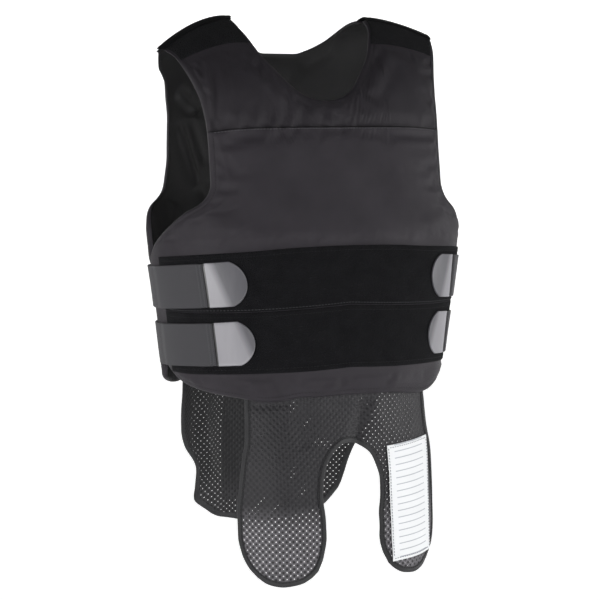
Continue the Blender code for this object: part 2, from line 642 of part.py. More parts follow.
def label():
    """The care label, sewn over the wearer's left lobe of the front tail."""
    low = np.linspace(LABEL["inner_bottom"], LABEL["outer_bottom"], POINTS["label"])
    high = np.linspace(LABEL["inner_top"], LABEL["outer_top"], POINTS["label"])
    share = np.linspace(0, 1, POINTS["label_up"])[:, None, None]
    pattern = low + share * (high - low)
    lift = TAPE_LIFT + TAPE_GAP
    top = tail_place(pattern, lift + LABEL_THICK, False).reshape(-1, 3)
    under = tail_place(pattern, lift, False).reshape(-1, 3)
    sheet("label", top, under, quads(*pattern.shape[:2]), "label")


for leftover in list(bpy.data.objects):
    bpy.data.objects.remove(leftover)

panel("front_panel", FRONT_HEM, FRONT_SIDE, FRONT_NECK, back=False)
panel("back_panel", BACK_HEM, back_side(), BACK_NECK, back=True)
loop_band("loop_band_upper", "top", "seam")
loop_band("loop_band_lower", "seam", "bottom")
for wearer_side in ("right", "left"):
    side_strap("upper", wearer_side)
    side_strap("lower", wearer_side)
    shoulder_patch(wearer_side)
    shoulder_strap(wearer_side)
front_tail()
back_tail()
back_tail_patch()
label()
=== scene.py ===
"""The looks of a soft body armour vest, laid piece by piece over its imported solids.

Every piece follows the wearer's shape. A place on it is given by pattern coordinates, as on the solids:
across is the length of cloth from the centre line of the front or back, height the height above the
shoulder seat, and lift the distance out of the wearer's surface. All are in metres.
"""

import bpy
import numpy as np
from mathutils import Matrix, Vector


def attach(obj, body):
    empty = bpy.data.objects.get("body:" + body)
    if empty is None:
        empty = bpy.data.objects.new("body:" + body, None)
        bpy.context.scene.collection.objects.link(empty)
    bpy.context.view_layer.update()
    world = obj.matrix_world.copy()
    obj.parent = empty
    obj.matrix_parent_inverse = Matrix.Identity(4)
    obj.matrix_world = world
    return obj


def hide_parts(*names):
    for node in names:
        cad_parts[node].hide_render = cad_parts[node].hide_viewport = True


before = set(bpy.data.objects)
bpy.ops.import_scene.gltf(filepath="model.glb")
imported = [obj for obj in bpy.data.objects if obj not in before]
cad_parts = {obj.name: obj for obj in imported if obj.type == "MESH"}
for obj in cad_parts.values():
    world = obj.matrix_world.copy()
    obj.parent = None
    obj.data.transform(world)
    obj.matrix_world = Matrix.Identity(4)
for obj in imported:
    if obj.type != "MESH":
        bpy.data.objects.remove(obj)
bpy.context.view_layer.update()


# Back panel: a soft armour pad in a carrier of charcoal nylon, lined with black satin. Front and back cloth
# are sewn together and turned, so the edge is thin and the pad swells up behind it. A line of stitches runs
# just inside the edge.


def table(names, *rows):
    """A table with named columns: one array for each name."""
    return dict(zip(names.split(), np.array(rows, dtype=float).T))


BODY = table(
    "height  z       half_width front   back    side_line front_square back_square",
    (0.030,  0.0100, 0.215,     0.000,  0.000,  0.058,    2.40,        2.40),
    (0.018,  0.0080, 0.215,     0.009,  0.009,  0.050,    2.40,        2.40),
    (0.006,  0.0025, 0.214,     0.021,  0.018,  0.040,    2.40,        2.40),
    (-0.009, -0.008, 0.213,     0.035,  0.028,  0.030,    2.40,        2.40),
    (-0.029, -0.028, 0.211,     0.052,  0.040,  0.022,    2.40,        2.40),
    (-0.074, -0.074, 0.206,     0.079,  0.062,  0.018,    2.40,        2.40),
    (-0.114, -0.114, 0.199,     0.095,  0.074,  0.019,    2.40,        2.35),
    (-0.174, -0.174, 0.190,     0.110,  0.082,  0.022,    2.40,        2.15),
    (-0.234, -0.234, 0.185,     0.126,  0.081,  0.029,    2.30,        1.90),
    (-0.294, -0.294, 0.1755,    0.139,  0.079,  0.026,    2.25,        1.80),
    (-0.364, -0.364, 0.1645,    0.146,  0.077,  0.018,    2.25,        1.80),
    (-0.424, -0.424, 0.157,     0.148,  0.078,  0.016,    2.25,        1.90),
    (-0.494, -0.494, 0.158,     0.156,  0.078,  0.016,    2.40,        2.40),
    (-0.694, -0.694, 0.160,     0.172,  0.078,  0.016,    2.40,        2.60),
)
RIDGE_HEIGHT = 0.030
RIDGE_INNER = 0.089
RIDGE_OUTER = 0.172
RIDGE_FALL_RIGHT = 0.037
RIDGE_FALL_LEFT = 0.022
RIDGE_BEND = 1.7
RIDGE_FALL_TOP = 0.006
RIDGE_FALL_BOTTOM = -0.164
SHELL_STEP = 0.001
SHELL_SHARES = 400
NORMAL_STEP = 0.002


def smooth(x, y, at):
    """A smooth curve through a table's rows, without overshoot: cubic between rows, with slopes that are
    the harmonic mean of the two sides' slopes."""
    order = np.argsort(x)
    x, y = x[order], y[order]
    step = np.diff(x)
    slope = np.diff(y) / step
    mean = np.zeros_like(y)
    same = slope[:-1] * slope[1:] > 0
    total = np.where(same, slope[:-1] + slope[1:], 1.0)
    mean[1:-1] = np.where(same, 2 * slope[:-1] * slope[1:] / total, 0.0)
    mean[0], mean[-1] = slope[0], slope[-1]
    at = np.clip(at, x[0], x[-1])
    k = np.clip(np.searchsorted(x, at) - 1, 0, len(x) - 2)
    h = step[k]
    t = (at - x[k]) / h
    return ((2 * t**3 - 3 * t**2 + 1) * y[k] + (t**3 - 2 * t**2 + t) * h * mean[k]
            + (3 * t**2 - 2 * t**3) * y[k + 1] + (t**3 - t**2) * h * mean[k + 1])


def ramp(value, start, end):
    """0 at start, 1 at end, with a smooth step between."""
    t = np.clip((value - start) / (end - start), 0, 1)
    return t * t * (3 - 2 * t)


def shell_tables():
    """Half of the wearer's section at every millimetre of height, from the front's centre line round to the
    back's: a superellipse for each quarter, with points at equal lengths of cloth."""
    height = np.arange(BODY["height"][-1], BODY["height"][0] + SHELL_STEP, SHELL_STEP)
    row = {name: smooth(BODY["height"], column, height)[:, None] for name, column in BODY.items()}
    angle = np.linspace(0, np.pi, 2 * SHELL_SHARES + 1)[None, :]
    cosine = np.cos(angle)
    ahead = cosine >= 0
    power = 2 / np.where(ahead, row["front_square"], row["back_square"])
    reach = np.where(ahead, row["front"] - row["side_line"], row["back"] + row["side_line"])
    x = row["half_width"] * np.abs(np.sin(angle)) ** power
    y = -row["side_line"] - reach * np.sign(cosine) * np.abs(cosine) ** power
    length = np.cumsum(np.hypot(np.diff(x, axis=1), np.diff(y, axis=1)), axis=1)
    length = np.concatenate([np.zeros((len(length), 1)), length], axis=1)
    share = np.linspace(0, 1, SHELL_SHARES + 1)
    even_x = np.stack([np.interp(share, whole / whole[-1], line) for whole, line in zip(length, x)])
    even_y = np.stack([np.interp(share, whole / whole[-1], line) for whole, line in zip(length, y)])
    return height[0], even_x, even_y, row["z"][:, 0], length[:, -1]


SHELL_BOTTOM, SHELL_X, SHELL_Y, SHELL_Z, SHELL_GIRTH = shell_tables()


def shell_row(height):
    """The row of the shell's tables below a height, and how far the height lies towards the next row."""
    row = np.clip((height - SHELL_BOTTOM) / SHELL_STEP, 0, len(SHELL_Z) - 1.001)
    return row.astype(int), row - row.astype(int)


def half_girth(height):
    """The length of cloth from the front's centre line to the back's at a height."""
    row, part = shell_row(height)
    return SHELL_GIRTH[row] * (1 - part) + SHELL_GIRTH[row + 1] * part


def shell_places(around, height, fall):
    """Places on the wearer's shape, around being the length of cloth from the front's centre line. The
    shoulder falls away outwards."""
    row, up = shell_row(height)
    column = around / half_girth(height) * SHELL_SHARES
    k = np.clip(np.floor(column), 0, SHELL_SHARES - 1).astype(int)
    over = column - k

    def blend(grid):
        low = grid[row, k] * (1 - over) + grid[row, k + 1] * over
        high = grid[row + 1, k] * (1 - over) + grid[row + 1, k + 1] * over
        return low * (1 - up) + high * up

    x, y = blend(SHELL_X), blend(SHELL_Y)
    z = SHELL_Z[row] * (1 - up) + SHELL_Z[row + 1] * up
    outward = np.clip((x - RIDGE_INNER) / (RIDGE_OUTER - RIDGE_INNER), 0, 1.3) ** RIDGE_BEND
    near_top = np.clip((height - RIDGE_FALL_BOTTOM) / (RIDGE_FALL_TOP - RIDGE_FALL_BOTTOM), 0, 1) ** 1.5
    return np.stack([x, y, z - fall * outward * near_top], axis=-1)


def place(across, height, lift, back=False):
    """Pattern coordinates to points in space: the place on the wearer's shape, moved by lift along the
    surface's outward normal. A minus sign on across means the wearer's right side."""
    across, height, lift = np.broadcast_arrays(np.asarray(across, float), height, lift)
    around = half_girth(height) - np.abs(across) if back else np.abs(across)
    right = across < 0
    fall = np.where(right, RIDGE_FALL_RIGHT, RIDGE_FALL_LEFT)
    step = NORMAL_STEP
    along = shell_places(around + step, height, fall) - shell_places(around - step, height, fall)
    upward = shell_places(around, height + step, fall) - shell_places(around, height - step, fall)
    normal = np.cross(along, upward)
    normal /= np.linalg.norm(normal, axis=-1, keepdims=True)
    points = shell_places(around, height, fall) + normal * lift[..., None]
    points[..., 0] *= np.where(right, -1, 1)
    return points


def laid(pattern, lift, back=False):
    """A grid of pattern coordinates laid on the wearer's shape at a lift, as a list of points."""
    return place(pattern[..., 0], pattern[..., 1], lift, back).reshape(-1, 3)


CURVE_FINENESS = 40


def curve(outline, count):
    """An outline's rows as a smooth curve: count points at equal lengths along it."""
    rows = np.stack([outline["across"], outline["height"]], axis=-1)
    chord = np.concatenate([[0], np.cumsum(np.linalg.norm(np.diff(rows, axis=0), axis=1))])
    fine = np.linspace(0, chord[-1], CURVE_FINENESS * len(rows))
    points = np.stack([smooth(chord, rows[:, 0], fine), smooth(chord, rows[:, 1], fine)], axis=-1)
    return evenly(points, np.linspace(0, 1, count))


def evenly(points, shares):
    """Points at the given shares of a polyline's length."""
    length = np.concatenate([[0], np.cumsum(np.linalg.norm(np.diff(points, axis=0), axis=1))])
    at = np.asarray(shares) * length[-1]
    return np.stack([np.interp(at, length, points[:, 0]), np.interp(at, length, points[:, 1])], axis=-1)


def patch(bottom, top, inner, outer):
    """A grid between four border curves that meet at the corners: the sum of the two ruled surfaces less
    the surface through the corners. Rows run from bottom to top, columns from inner to outer."""
    u = np.linspace(0, 1, len(bottom))[None, :, None]
    v = np.linspace(0, 1, len(inner))[:, None, None]
    ruled = (1 - v) * bottom[None] + v * top[None] + (1 - u) * inner[:, None] + u * outer[:, None]
    corners = ((1 - u) * (1 - v) * bottom[0] + u * (1 - v) * bottom[-1] + (1 - u) * v * top[0]
               + u * v * top[-1])
    return ruled - corners


def mirrored(grid, sign=(-1, 1)):
    """A half grid from the centre line outwards, made whole."""
    return np.concatenate([grid[:, :0:-1] * sign, grid], axis=1)


def line_distance(places, line):
    """The distance of each place from a polyline: the least of its distances from the line's segments."""
    start, span = line[:-1], np.diff(line, axis=0)
    offset = places[..., None, :] - start
    along = np.clip((offset * span).sum(-1) / (span**2).sum(-1), 0, 1)
    return np.linalg.norm(offset - along[..., None] * span, axis=-1).min(axis=-1)


EDGE_SHARES = (0, 0.004, 0.010, 0.018, 0.028)
PANEL_COLUMNS = 118
PANEL_NECK_COLUMNS = 70
PANEL_ROWS = 172
OUTLINE_POINTS = 300
RIDGE_POINTS = 100
RIM_STEP = 4


def panel_pattern(hem, side, neck):
    """A panel's grid of pattern coordinates, finer near its edges, and each place's distance from the
    edge."""
    near = np.array(EDGE_SHARES)
    columns = np.concatenate([np.linspace(0, 1 - near[-1], PANEL_COLUMNS - len(near) + 1), 1 - near[-2::-1]])
    middle = np.linspace(near[-1], 1 - near[-1], PANEL_ROWS - 2 * len(near) + 2)
    rows = np.concatenate([near[:-1], middle, 1 - near[-2::-1]])
    hem_line, side_line, neck_line = (curve(outline, OUTLINE_POINTS) for outline in (hem, side, neck))
    ridge_line = np.linspace(neck_line[-1], side_line[-1], RIDGE_POINTS)
    neck_part = evenly(neck_line, np.linspace(0, 1, PANEL_NECK_COLUMNS + 1))
    ridge_part = evenly(ridge_line, np.linspace(0, 1, PANEL_COLUMNS - PANEL_NECK_COLUMNS))
    top = np.concatenate([neck_part, ridge_part[1:]])
    inner = evenly(np.array([hem_line[0], neck_line[0]]), rows)
    half = patch(evenly(hem_line, columns), top, inner, evenly(side_line, rows))
    around = (hem_line, side_line, ridge_line[::-1], neck_line[::-1])
    rim = np.concatenate([line[::RIM_STEP] for line in around])
    distance = line_distance(half, np.vstack([rim, neck_line[:1]]))
    return mirrored(half), mirrored(distance, 1)


PAD_THICK = 0.0090
RIM_THICK = 0.0040
SHOULDER_THICK_RIGHT = 0.0024
SHOULDER_THICK_LEFT = 0.0048
SEAM_TOP = 0.0023
SEAM_UNDER = 0.0011
PAD_ROUND = 0.014
SEAM_ROUND = 0.0035
SHOULDER_TAPER_TOP = -0.010
SHOULDER_TAPER_BOTTOM = -0.080
TOPSTITCH_INSET = 0.0060
TOPSTITCH_WIDTH = 0.0016
TOPSTITCH_DEPTH = 0.0005


def full_thickness(across, height):
    """The thickness of a panel away from its edge: less over the shoulder, and least over the right one,
    which is pressed flat."""
    shoulder = np.where(across < 0, SHOULDER_THICK_RIGHT, SHOULDER_THICK_LEFT)
    return PAD_THICK + (shoulder - PAD_THICK) * ramp(height, SHOULDER_TAPER_BOTTOM, SHOULDER_TAPER_TOP)


def pad_lift(across, height, distance):
    """The top of a padded panel: from the turned seam at the edge it rises in a quarter round to the pad's
    full thickness, and dips along the line of stitches."""
    seam = np.sqrt(1 - (1 - np.clip(distance / SEAM_ROUND, 0, 1)) ** 2)
    crown = np.sqrt(1 - (1 - np.clip(distance / PAD_ROUND, 0, 1)) ** 2)
    full = full_thickness(across, height)
    rim = np.minimum(RIM_THICK, full + 0.0002)
    dip = TOPSTITCH_DEPTH * np.exp(-(((distance - TOPSTITCH_INSET) / TOPSTITCH_WIDTH) ** 2))
    return SEAM_TOP + (rim - SEAM_TOP) * seam + (full - rim) * crown - dip


def pulled(pattern, pulls):
    """Pattern coordinates with places near each row's spot moved by its step: fully at the spot, and less
    with distance, by a bell curve."""
    across, height = pattern[..., 0].copy(), pattern[..., 1].copy()
    for spot_across, spot_height, size, step_across, step_height in zip(*pulls.values()):
        away = (pattern[..., 0] - spot_across) ** 2 + (pattern[..., 1] - spot_height) ** 2
        share = np.exp(-away / size**2)
        across += share * step_across
        height += share * step_height
    return np.stack([across, height], axis=-1)


def lining_lift(distance):
    """The underside of a panel: the lining, drawn up into the seam at the edge."""
    return SEAM_UNDER * (1 - np.sqrt(1 - (1 - np.clip(distance / SEAM_ROUND, 0, 1)) ** 2))


def folds(marks, across, height):
    """Soft folds in cloth: for each row of marks, its depth times a bell curve of the distance from a line
    between two places, all added up. A fold dies out towards both ends of its line, by a fourth power."""
    start = np.stack([marks["across"], marks["height"]], axis=-1)
    span = np.stack([marks["to_across"], marks["to_height"]], axis=-1) - start
    offset = np.stack([across, height], axis=-1)[..., None, :] - start
    along = np.clip((offset * span).sum(-1) / (span**2).sum(-1), 0, 1)
    away = np.linalg.norm(offset - along[..., None] * span, axis=-1)
    dies = 1 - (2 * along - 1) ** 4
    return (marks["depth"] * dies * np.exp(-((away / marks["width"]) ** 2))).sum(-1)


SWELL_STEP = 3
SWELL_FRAMES = 20
SWELL_PRESSURE = 4.0
SWELL_MASS = 0.004
SWELL_SLACK = 0.012
SWELL_STIFFNESS = 0.05
SWELL_QUALITY = 5
SWELL_MOST = 0.0022
HELD_STEPS = 10


def swollen(top, under, held):
    """How far each place of a panel's outer cloth moves as its pad fills it: a cloth simulation on a coarser
    copy of the closed panel, with a little slack, pressure inside and no gravity. held is 1 where the cloth
    is sewn or pressed flat. The move is measured along the thickness and eases to a cap by a hyperbolic
    tangent."""
    rows, columns = (np.unique(np.append(np.arange(0, size, SWELL_STEP), size - 1)) for size in held.shape)
    outer, inner = top[rows][:, columns].reshape(-1, 3), under[rows][:, columns].reshape(-1, 3)
    count = len(outer)
    faces, _ = walled(quads(len(rows), len(columns)), count)
    mesh = bpy.data.meshes.new("swelling_panel")
    mesh.from_pydata(np.concatenate([outer, inner]).tolist(), [], faces.tolist())
    panel = bpy.data.objects.new("swelling_panel", mesh)
    bpy.context.collection.objects.link(panel)
    fixed = panel.vertex_groups.new(name="held")
    steps = np.round(held[rows][:, columns].ravel() * HELD_STEPS)
    steps = np.concatenate([steps, np.full(count, HELD_STEPS)])
    for step in range(HELD_STEPS + 1):
        fixed.add(np.flatnonzero(steps == step).tolist(), step / HELD_STEPS, "REPLACE")
    cloth = panel.modifiers.new("filling", "CLOTH")
    cloth.settings.quality = SWELL_QUALITY
    cloth.settings.mass = SWELL_MASS
    cloth.settings.vertex_group_mass = "held"
    cloth.settings.shrink_min = -SWELL_SLACK
    cloth.settings.bending_stiffness = SWELL_STIFFNESS
    cloth.settings.use_pressure = True
    cloth.settings.uniform_pressure_force = SWELL_PRESSURE
    cloth.settings.effector_weights.gravity = 0
    cloth.point_cache.frame_start, cloth.point_cache.frame_end = 1, SWELL_FRAMES
    for moment in range(1, SWELL_FRAMES + 1):
        bpy.context.scene.frame_set(moment)
    filled = np.empty(6 * count, dtype=np.float32)
    panel.evaluated_get(bpy.context.evaluated_depsgraph_get()).data.vertices.foreach_get("co", filled)
    bpy.context.scene.frame_set(1)
    bpy.data.objects.remove(panel)
    bpy.data.meshes.remove(mesh)
    through = (outer - inner) / np.linalg.norm(outer - inner, axis=1, keepdims=True)
    move = ((filled.reshape(-1, 3)[:count] - outer) * through).sum(axis=1).reshape(len(rows), len(columns))
    move = SWELL_MOST * np.tanh(move / SWELL_MOST)
    across = np.stack([smooth(columns, line, np.arange(held.shape[1])) for line in move])
    return np.stack([smooth(rows, line, np.arange(held.shape[0])) for line in across.T], axis=1)


RIPPLES = table(
    "by_across by_height phase share",
    (61,       23,       0.4,  0.30),
    (-47,      74,       1.9,  0.25),
    (118,      -39,      3.1,  0.18),
    (29,       131,      4.4,  0.15),
    (-157,     -88,      5.2,  0.12),
)


def ripple(across, height):
    """The slow unevenness of cloth, from -1 to 1: sine waves that cross at odd angles."""
    turns = across[..., None] * RIPPLES["by_across"] + height[..., None] * RIPPLES["by_height"]
    return (RIPPLES["share"] * np.sin(turns + RIPPLES["phase"])).sum(-1)


def quads(rows, columns):
    """Corner numbers of the faces of a grid of points."""
    index = np.arange(rows * columns).reshape(rows, columns)
    return np.stack([index[:-1, :-1], index[:-1, 1:], index[1:, 1:], index[1:, :-1]], axis=-1).reshape(-1, 4)


def walled(faces, count):
    """The faces of a closed sheet: the top layer, the layer of count points below it turned over, and a
    wall along every edge that only one face has. Also how many faces each of the three parts has."""
    edges = np.concatenate([faces[:, [0, 1]], faces[:, [1, 2]], faces[:, [2, 3]], faces[:, [3, 0]]])
    open_edge = ~np.isin(edges[:, 0] * count + edges[:, 1], edges[:, 1] * count + edges[:, 0])
    a, b = edges[open_edge].T
    wall = np.stack([b, a, a + count, b + count], axis=-1)
    return np.concatenate([faces, faces[:, [0, 3, 2, 1]] + count, wall]), (len(faces), len(faces), len(wall))


SHARP_ANGLE = np.radians(55)


def make_piece(name, points, faces, pattern, finishes, finish_of_face=None):
    """An object from points and four-cornered faces, with the pattern coordinates as its UV map."""
    mesh = bpy.data.meshes.new(name)
    mesh.vertices.add(len(points))
    mesh.vertices.foreach_set("co", points.astype(np.float32).ravel())
    mesh.loops.add(faces.size)
    mesh.loops.foreach_set("vertex_index", faces.astype(np.int32).ravel())
    mesh.polygons.add(len(faces))
    mesh.polygons.foreach_set("loop_start", np.arange(0, faces.size, 4, dtype=np.int32))
    mesh.polygons.foreach_set("loop_total", np.full(len(faces), 4, dtype=np.int32))
    mesh.polygons.foreach_set("use_smooth", np.ones(len(faces), dtype=bool))
    for finish in finishes:
        mesh.materials.append(finish)
    if finish_of_face is not None:
        mesh.polygons.foreach_set("material_index", finish_of_face.astype(np.int32))
    mesh.update(calc_edges=True)
    corners = pattern[faces.ravel()].astype(np.float32)
    mesh.uv_layers.new(name="cloth").data.foreach_set("uv", corners.ravel())
    mesh.set_sharp_from_angle(angle=SHARP_ANGLE)
    made = bpy.data.objects.new(name, mesh)
    bpy.context.collection.objects.link(made)
    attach(made, "root")
    return made


def layered(name, pattern, top, under, finishes, finish_of_part=(0, 0, 0), faces=None):
    """A closed sheet from a top and an under layer of points, with a finish for the top, the underside and
    the wall between them. Its faces are those of a grid if none are given."""
    faces = quads(*pattern.shape[:2]) if faces is None else faces
    solid, counts = walled(faces, len(top))
    flat = pattern.reshape(-1, 2)
    finish_of_face = np.repeat(finish_of_part, counts)
    points = np.concatenate([top, under])
    return make_piece(name, points, solid, np.concatenate([flat, flat]), finishes, finish_of_face)


def stand_in(made, node_name):
    """A piece that stands in for one solid, which is hidden."""
    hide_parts(node_name)
    return made


def node(tree, kind, inputs, **settings):
    """A shader node with its settings, its inputs given as values or as other nodes' outputs."""
    made = tree.nodes.new(kind)
    for key, value in settings.items():
        setattr(made, key, value)
    for key, value in inputs.items():
        if isinstance(value, bpy.types.NodeSocket):
            tree.links.new(value, made.inputs[key])
        else:
            made.inputs[key].default_value = value
    return made


def math(tree, operation, first, second=0.0):
    """The output of a Math node."""
    return node(tree, "ShaderNodeMath", {0: first, 1: second}, operation=operation).outputs[0]


def finish(name, roughness, sheen=0.0, sheen_roughness=0.5, specular=0.5):
    """A new material: its node tree, its shader, and the piece's own pattern coordinates in metres."""
    made = bpy.data.materials.new(name)
    made.use_nodes = True
    tree = made.node_tree
    shader = tree.nodes["Principled BSDF"]
    shader.inputs["Roughness"].default_value = roughness
    shader.inputs["Sheen Weight"].default_value = sheen
    shader.inputs["Sheen Roughness"].default_value = sheen_roughness
    shader.inputs["Specular IOR Level"].default_value = specular
    cloth = node(tree, "ShaderNodeUVMap", {}, uv_map="cloth").outputs["UV"]
    return made, tree, shader, cloth


def threads(tree, cloth, pitch, turn=0.0, direction="X"):
    """Rounded parallel threads a pitch apart, as a value from 0 in the grooves to 1 on the threads: the
    height of a sine wave across them."""
    turned = node(tree, "ShaderNodeMapping", {"Vector": cloth, "Rotation": (0, 0, turn)}).outputs[0]
    scale = 2 * np.pi / (20 * pitch)
    wave = node(tree, "ShaderNodeTexWave", {"Vector": turned, "Scale": scale}, bands_direction=direction)
    return wave.outputs["Fac"]


def mottle(tree, cloth, scale, detail=2.0):
    """Cloudy noise over the cloth, from 0 to 1."""
    noise = node(tree, "ShaderNodeTexNoise", {"Vector": cloth, "Scale": scale, "Detail": detail})
    return noise.outputs["Fac"]


def colour_mix(tree, share, first, second):
    """Two colours mixed by a share. Each is three values or another node's output."""
    first, second = (colour if isinstance(colour, bpy.types.NodeSocket) else (*colour, 1)
                     for colour in (first, second))
    return node(tree, "ShaderNodeMix", {0: share, 6: first, 7: second}, data_type="RGBA").outputs[2]


# The colour that grooves are darkened towards: painted shade.
PAINTED_SHADE_BLACK = (0.001, 0.001, 0.001)


def coloured(tree, shader, share, first, second):
    """The shader's colour: two colours mixed by a share."""
    tree.links.new(colour_mix(tree, share, first, second), shader.inputs["Base Color"])


def spread(tree, amount, low, high, to_low=0.0, to_high=1.0):
    """An amount from low to high stretched to another range."""
    inputs = {"Value": amount, "From Min": low, "From Max": high, "To Min": to_low, "To Max": to_high}
    return node(tree, "ShaderNodeMapRange", inputs).outputs[0]


def relief(tree, shader, height, distance, strength=1.0):
    """Fine relief: a bump of the given height in metres under the shader."""
    bump = node(tree, "ShaderNodeBump", {"Height": height, "Distance": distance, "Strength": strength})
    tree.links.new(bump.outputs[0], shader.inputs["Normal"])


def nylon_finish(name, dark, light, roughness, seam=None, specular=0.16):
    """Tightly woven nylon: crossed threads under half a millimetre apart, with a slow change of colour and
    sheen from the way it has been handled."""
    made, tree, shader, cloth = finish(name, roughness, sheen=0.015, sheen_roughness=0.45, specular=specular)
    warp = threads(tree, cloth, 0.00045)
    weft = threads(tree, cloth, 0.00045, direction="Y")
    weave = math(tree, "MULTIPLY", warp, weft)
    worn = spread(tree, mottle(tree, cloth, 22.0, 4.0), 0.3, 0.7)
    grain = math(tree, "MULTIPLY", spread(tree, mottle(tree, cloth, 900.0), 0.3, 0.7, 0.75, 1.0), worn)
    colour = colour_mix(tree, grain, dark, light)
    crease = math(tree, "MULTIPLY", mottle(tree, cloth, 70.0, 5.0), 3.0)
    surface = math(tree, "ADD", weave, crease)
    if seam:
        groove = seam(tree, cloth)
        # Darker in the seam's groove and on the yoke just above it: painted shade. The dip in the bump is the
        # groove's relief.
        colour = colour_mix(tree, math(tree, "MULTIPLY", groove, 0.85), colour, PAINTED_SHADE_BLACK)
        surface = math(tree, "SUBTRACT", surface, math(tree, "MULTIPLY", groove, 6.0))
    tree.links.new(colour, shader.inputs["Base Color"])
    tree.links.new(spread(tree, worn, 0, 1, roughness + 0.06, roughness - 0.05), shader.inputs["Roughness"])
    relief(tree, shader, surface, 0.00010, 0.6)
    return made


def satin_finish():
    """Black satin lining: a fine diagonal twill with a soft shine."""
    made, tree, shader, cloth = finish("black_satin_lining", 0.36, specular=0.22)
    twill = threads(tree, cloth, 0.0005, turn=np.radians(38))
    worn = mottle(tree, cloth, 30.0, 4.0)
    coloured(tree, shader, worn, (0.0050, 0.0048, 0.0052), (0.0150, 0.0146, 0.0152))
    tree.links.new(spread(tree, worn, 0.3, 0.7, 0.38, 0.50), shader.inputs["Roughness"])
    crease = math(tree, "MULTIPLY", mottle(tree, cloth, 55.0, 4.0), 6.0)
    relief(tree, shader, math(tree, "ADD", twill, crease), 0.00012, 0.7)
    return made


def thread_finish(name, colour):
    """Twisted sewing thread, with its plies across it. Its colour is darker in the grooves between the plies:
    painted shade.
    """
    made, tree, shader, cloth = finish(name, 0.7, sheen=0.02, specular=0.12)
    ply = threads(tree, cloth, 0.0005, turn=np.radians(30))
    # Darker between the plies: painted shade.
    coloured(tree, shader, ply, tuple(0.6 * part for part in colour), colour)
    relief(tree, shader, ply, 0.0001, 0.8)
    return made


STITCH_THICK = 0.00022
STITCH_LENGTH = 0.0026
STITCH_GAP = 0.0010
SHORT_STITCH = (0.0022, 0.0014)
STITCH_ENDS = np.array([-1.0, -0.72, 0.72, 1.0])
STITCH_GIRTH = np.array([0.25, 1.0, 1.0, 0.25])
STITCH_FLAT = 1.5
STITCH_CORNER = 1.4


def sew(name, runs, thread):
    """Stitches as one piece. Each run gives the places where its stitches start and end, and their lift.
    A stitch is a small square bar along its length, with drawn-in ends."""
    starts, ends, ups = [], [], []
    for start, end, lift, back in runs:
        lift = np.broadcast_to(lift, len(start))
        starts.append(stitch_place(start, lift, back))
        ends.append(stitch_place(end, lift, back))
        ups.append(stitch_place((start + end) / 2, lift + 0.001, back))
    start, end, up = np.concatenate(starts), np.concatenate(ends), np.concatenate(ups)
    middle, half = (start + end) / 2, (end - start) / 2
    normal = up - middle
    normal /= np.linalg.norm(normal, axis=1, keepdims=True)
    side = np.cross(half, normal)
    side /= np.linalg.norm(side, axis=1, keepdims=True)
    turn = np.radians([45, 135, 225, 315])
    ring = normal[:, None] * np.sin(turn)[:, None] + side[:, None] * np.cos(turn)[:, None] * STITCH_FLAT
    points = (middle[:, None, None] + half[:, None, None] * STITCH_ENDS[:, None, None]
              + ring[:, None] * STITCH_GIRTH[:, None, None] * STITCH_THICK * STITCH_CORNER)
    k = np.arange(4)
    k1 = (k + 1) % 4
    sides = [np.stack([k + 4 * r, k1 + 4 * r, k1 + 4 * r + 4, k + 4 * r + 4], axis=-1) for r in range(3)]
    one = np.concatenate([*sides, [[3, 2, 1, 0]], [[12, 13, 14, 15]]])
    faces = (np.arange(len(start))[:, None, None] * 16 + one).reshape(-1, 4)
    flat = np.stack([np.repeat(STITCH_ENDS * STITCH_LENGTH, 4), np.tile(k * STITCH_THICK, 4)], axis=-1)
    return make_piece(name, points.reshape(-1, 3), faces, np.tile(flat, (len(start), 1)), [thread])


def stitch_place(line, lift, back):
    """Where a stitch's end lies: back says which cloth it is on."""
    if isinstance(back, bool):
        return place(line[:, 0], line[:, 1], lift, back)
    return back(line, lift)


def running(line, lift, back, length=STITCH_LENGTH, gap=STITCH_GAP):
    """A run of plain stitches along a line of pattern coordinates."""
    total = np.linalg.norm(np.diff(line, axis=0), axis=1).sum()
    count = int(total / (length + gap))
    first = (np.arange(count) + 0.2) * (length + gap) / total
    return evenly(line, first), evenly(line, first + length / total), lift, back


def inset(line, distance):
    """A line moved towards the cloth, which lies on its left."""
    along = np.gradient(line, axis=0)
    along /= np.linalg.norm(along, axis=1, keepdims=True)
    return line + np.stack([-along[:, 1], along[:, 0]], axis=-1) * distance


TOPSTITCH_POINTS = 260
TOPSTITCH_CORNER = 4


def edge_stitches(hem, side, neck, pulls, back):
    """The line of stitches just inside a panel's edge: along the hem, up both sides and round the neck.
    Each part stops short of the corners that it has, a few points from the end."""
    runs = []
    corner = TOPSTITCH_CORNER
    for outline, way, kept in ((hem, 1, slice(None, -corner)), (side, 1, slice(corner, -corner)),
                               (neck, -1, slice(corner, None))):
        line = inset(curve(outline, TOPSTITCH_POINTS)[::way], TOPSTITCH_INSET)[kept]
        for sign in (1, -1):
            start, end, _, _ = running(line, 0.0, back)
            start, end = pulled(start * (sign, 1), pulls), pulled(end * (sign, 1), pulls)
            lift = pad_lift(start[:, 0], start[:, 1], np.full(len(start), TOPSTITCH_INSET))
            runs.append((start, end, lift + STITCH_THICK * 0.4, back))
    return runs


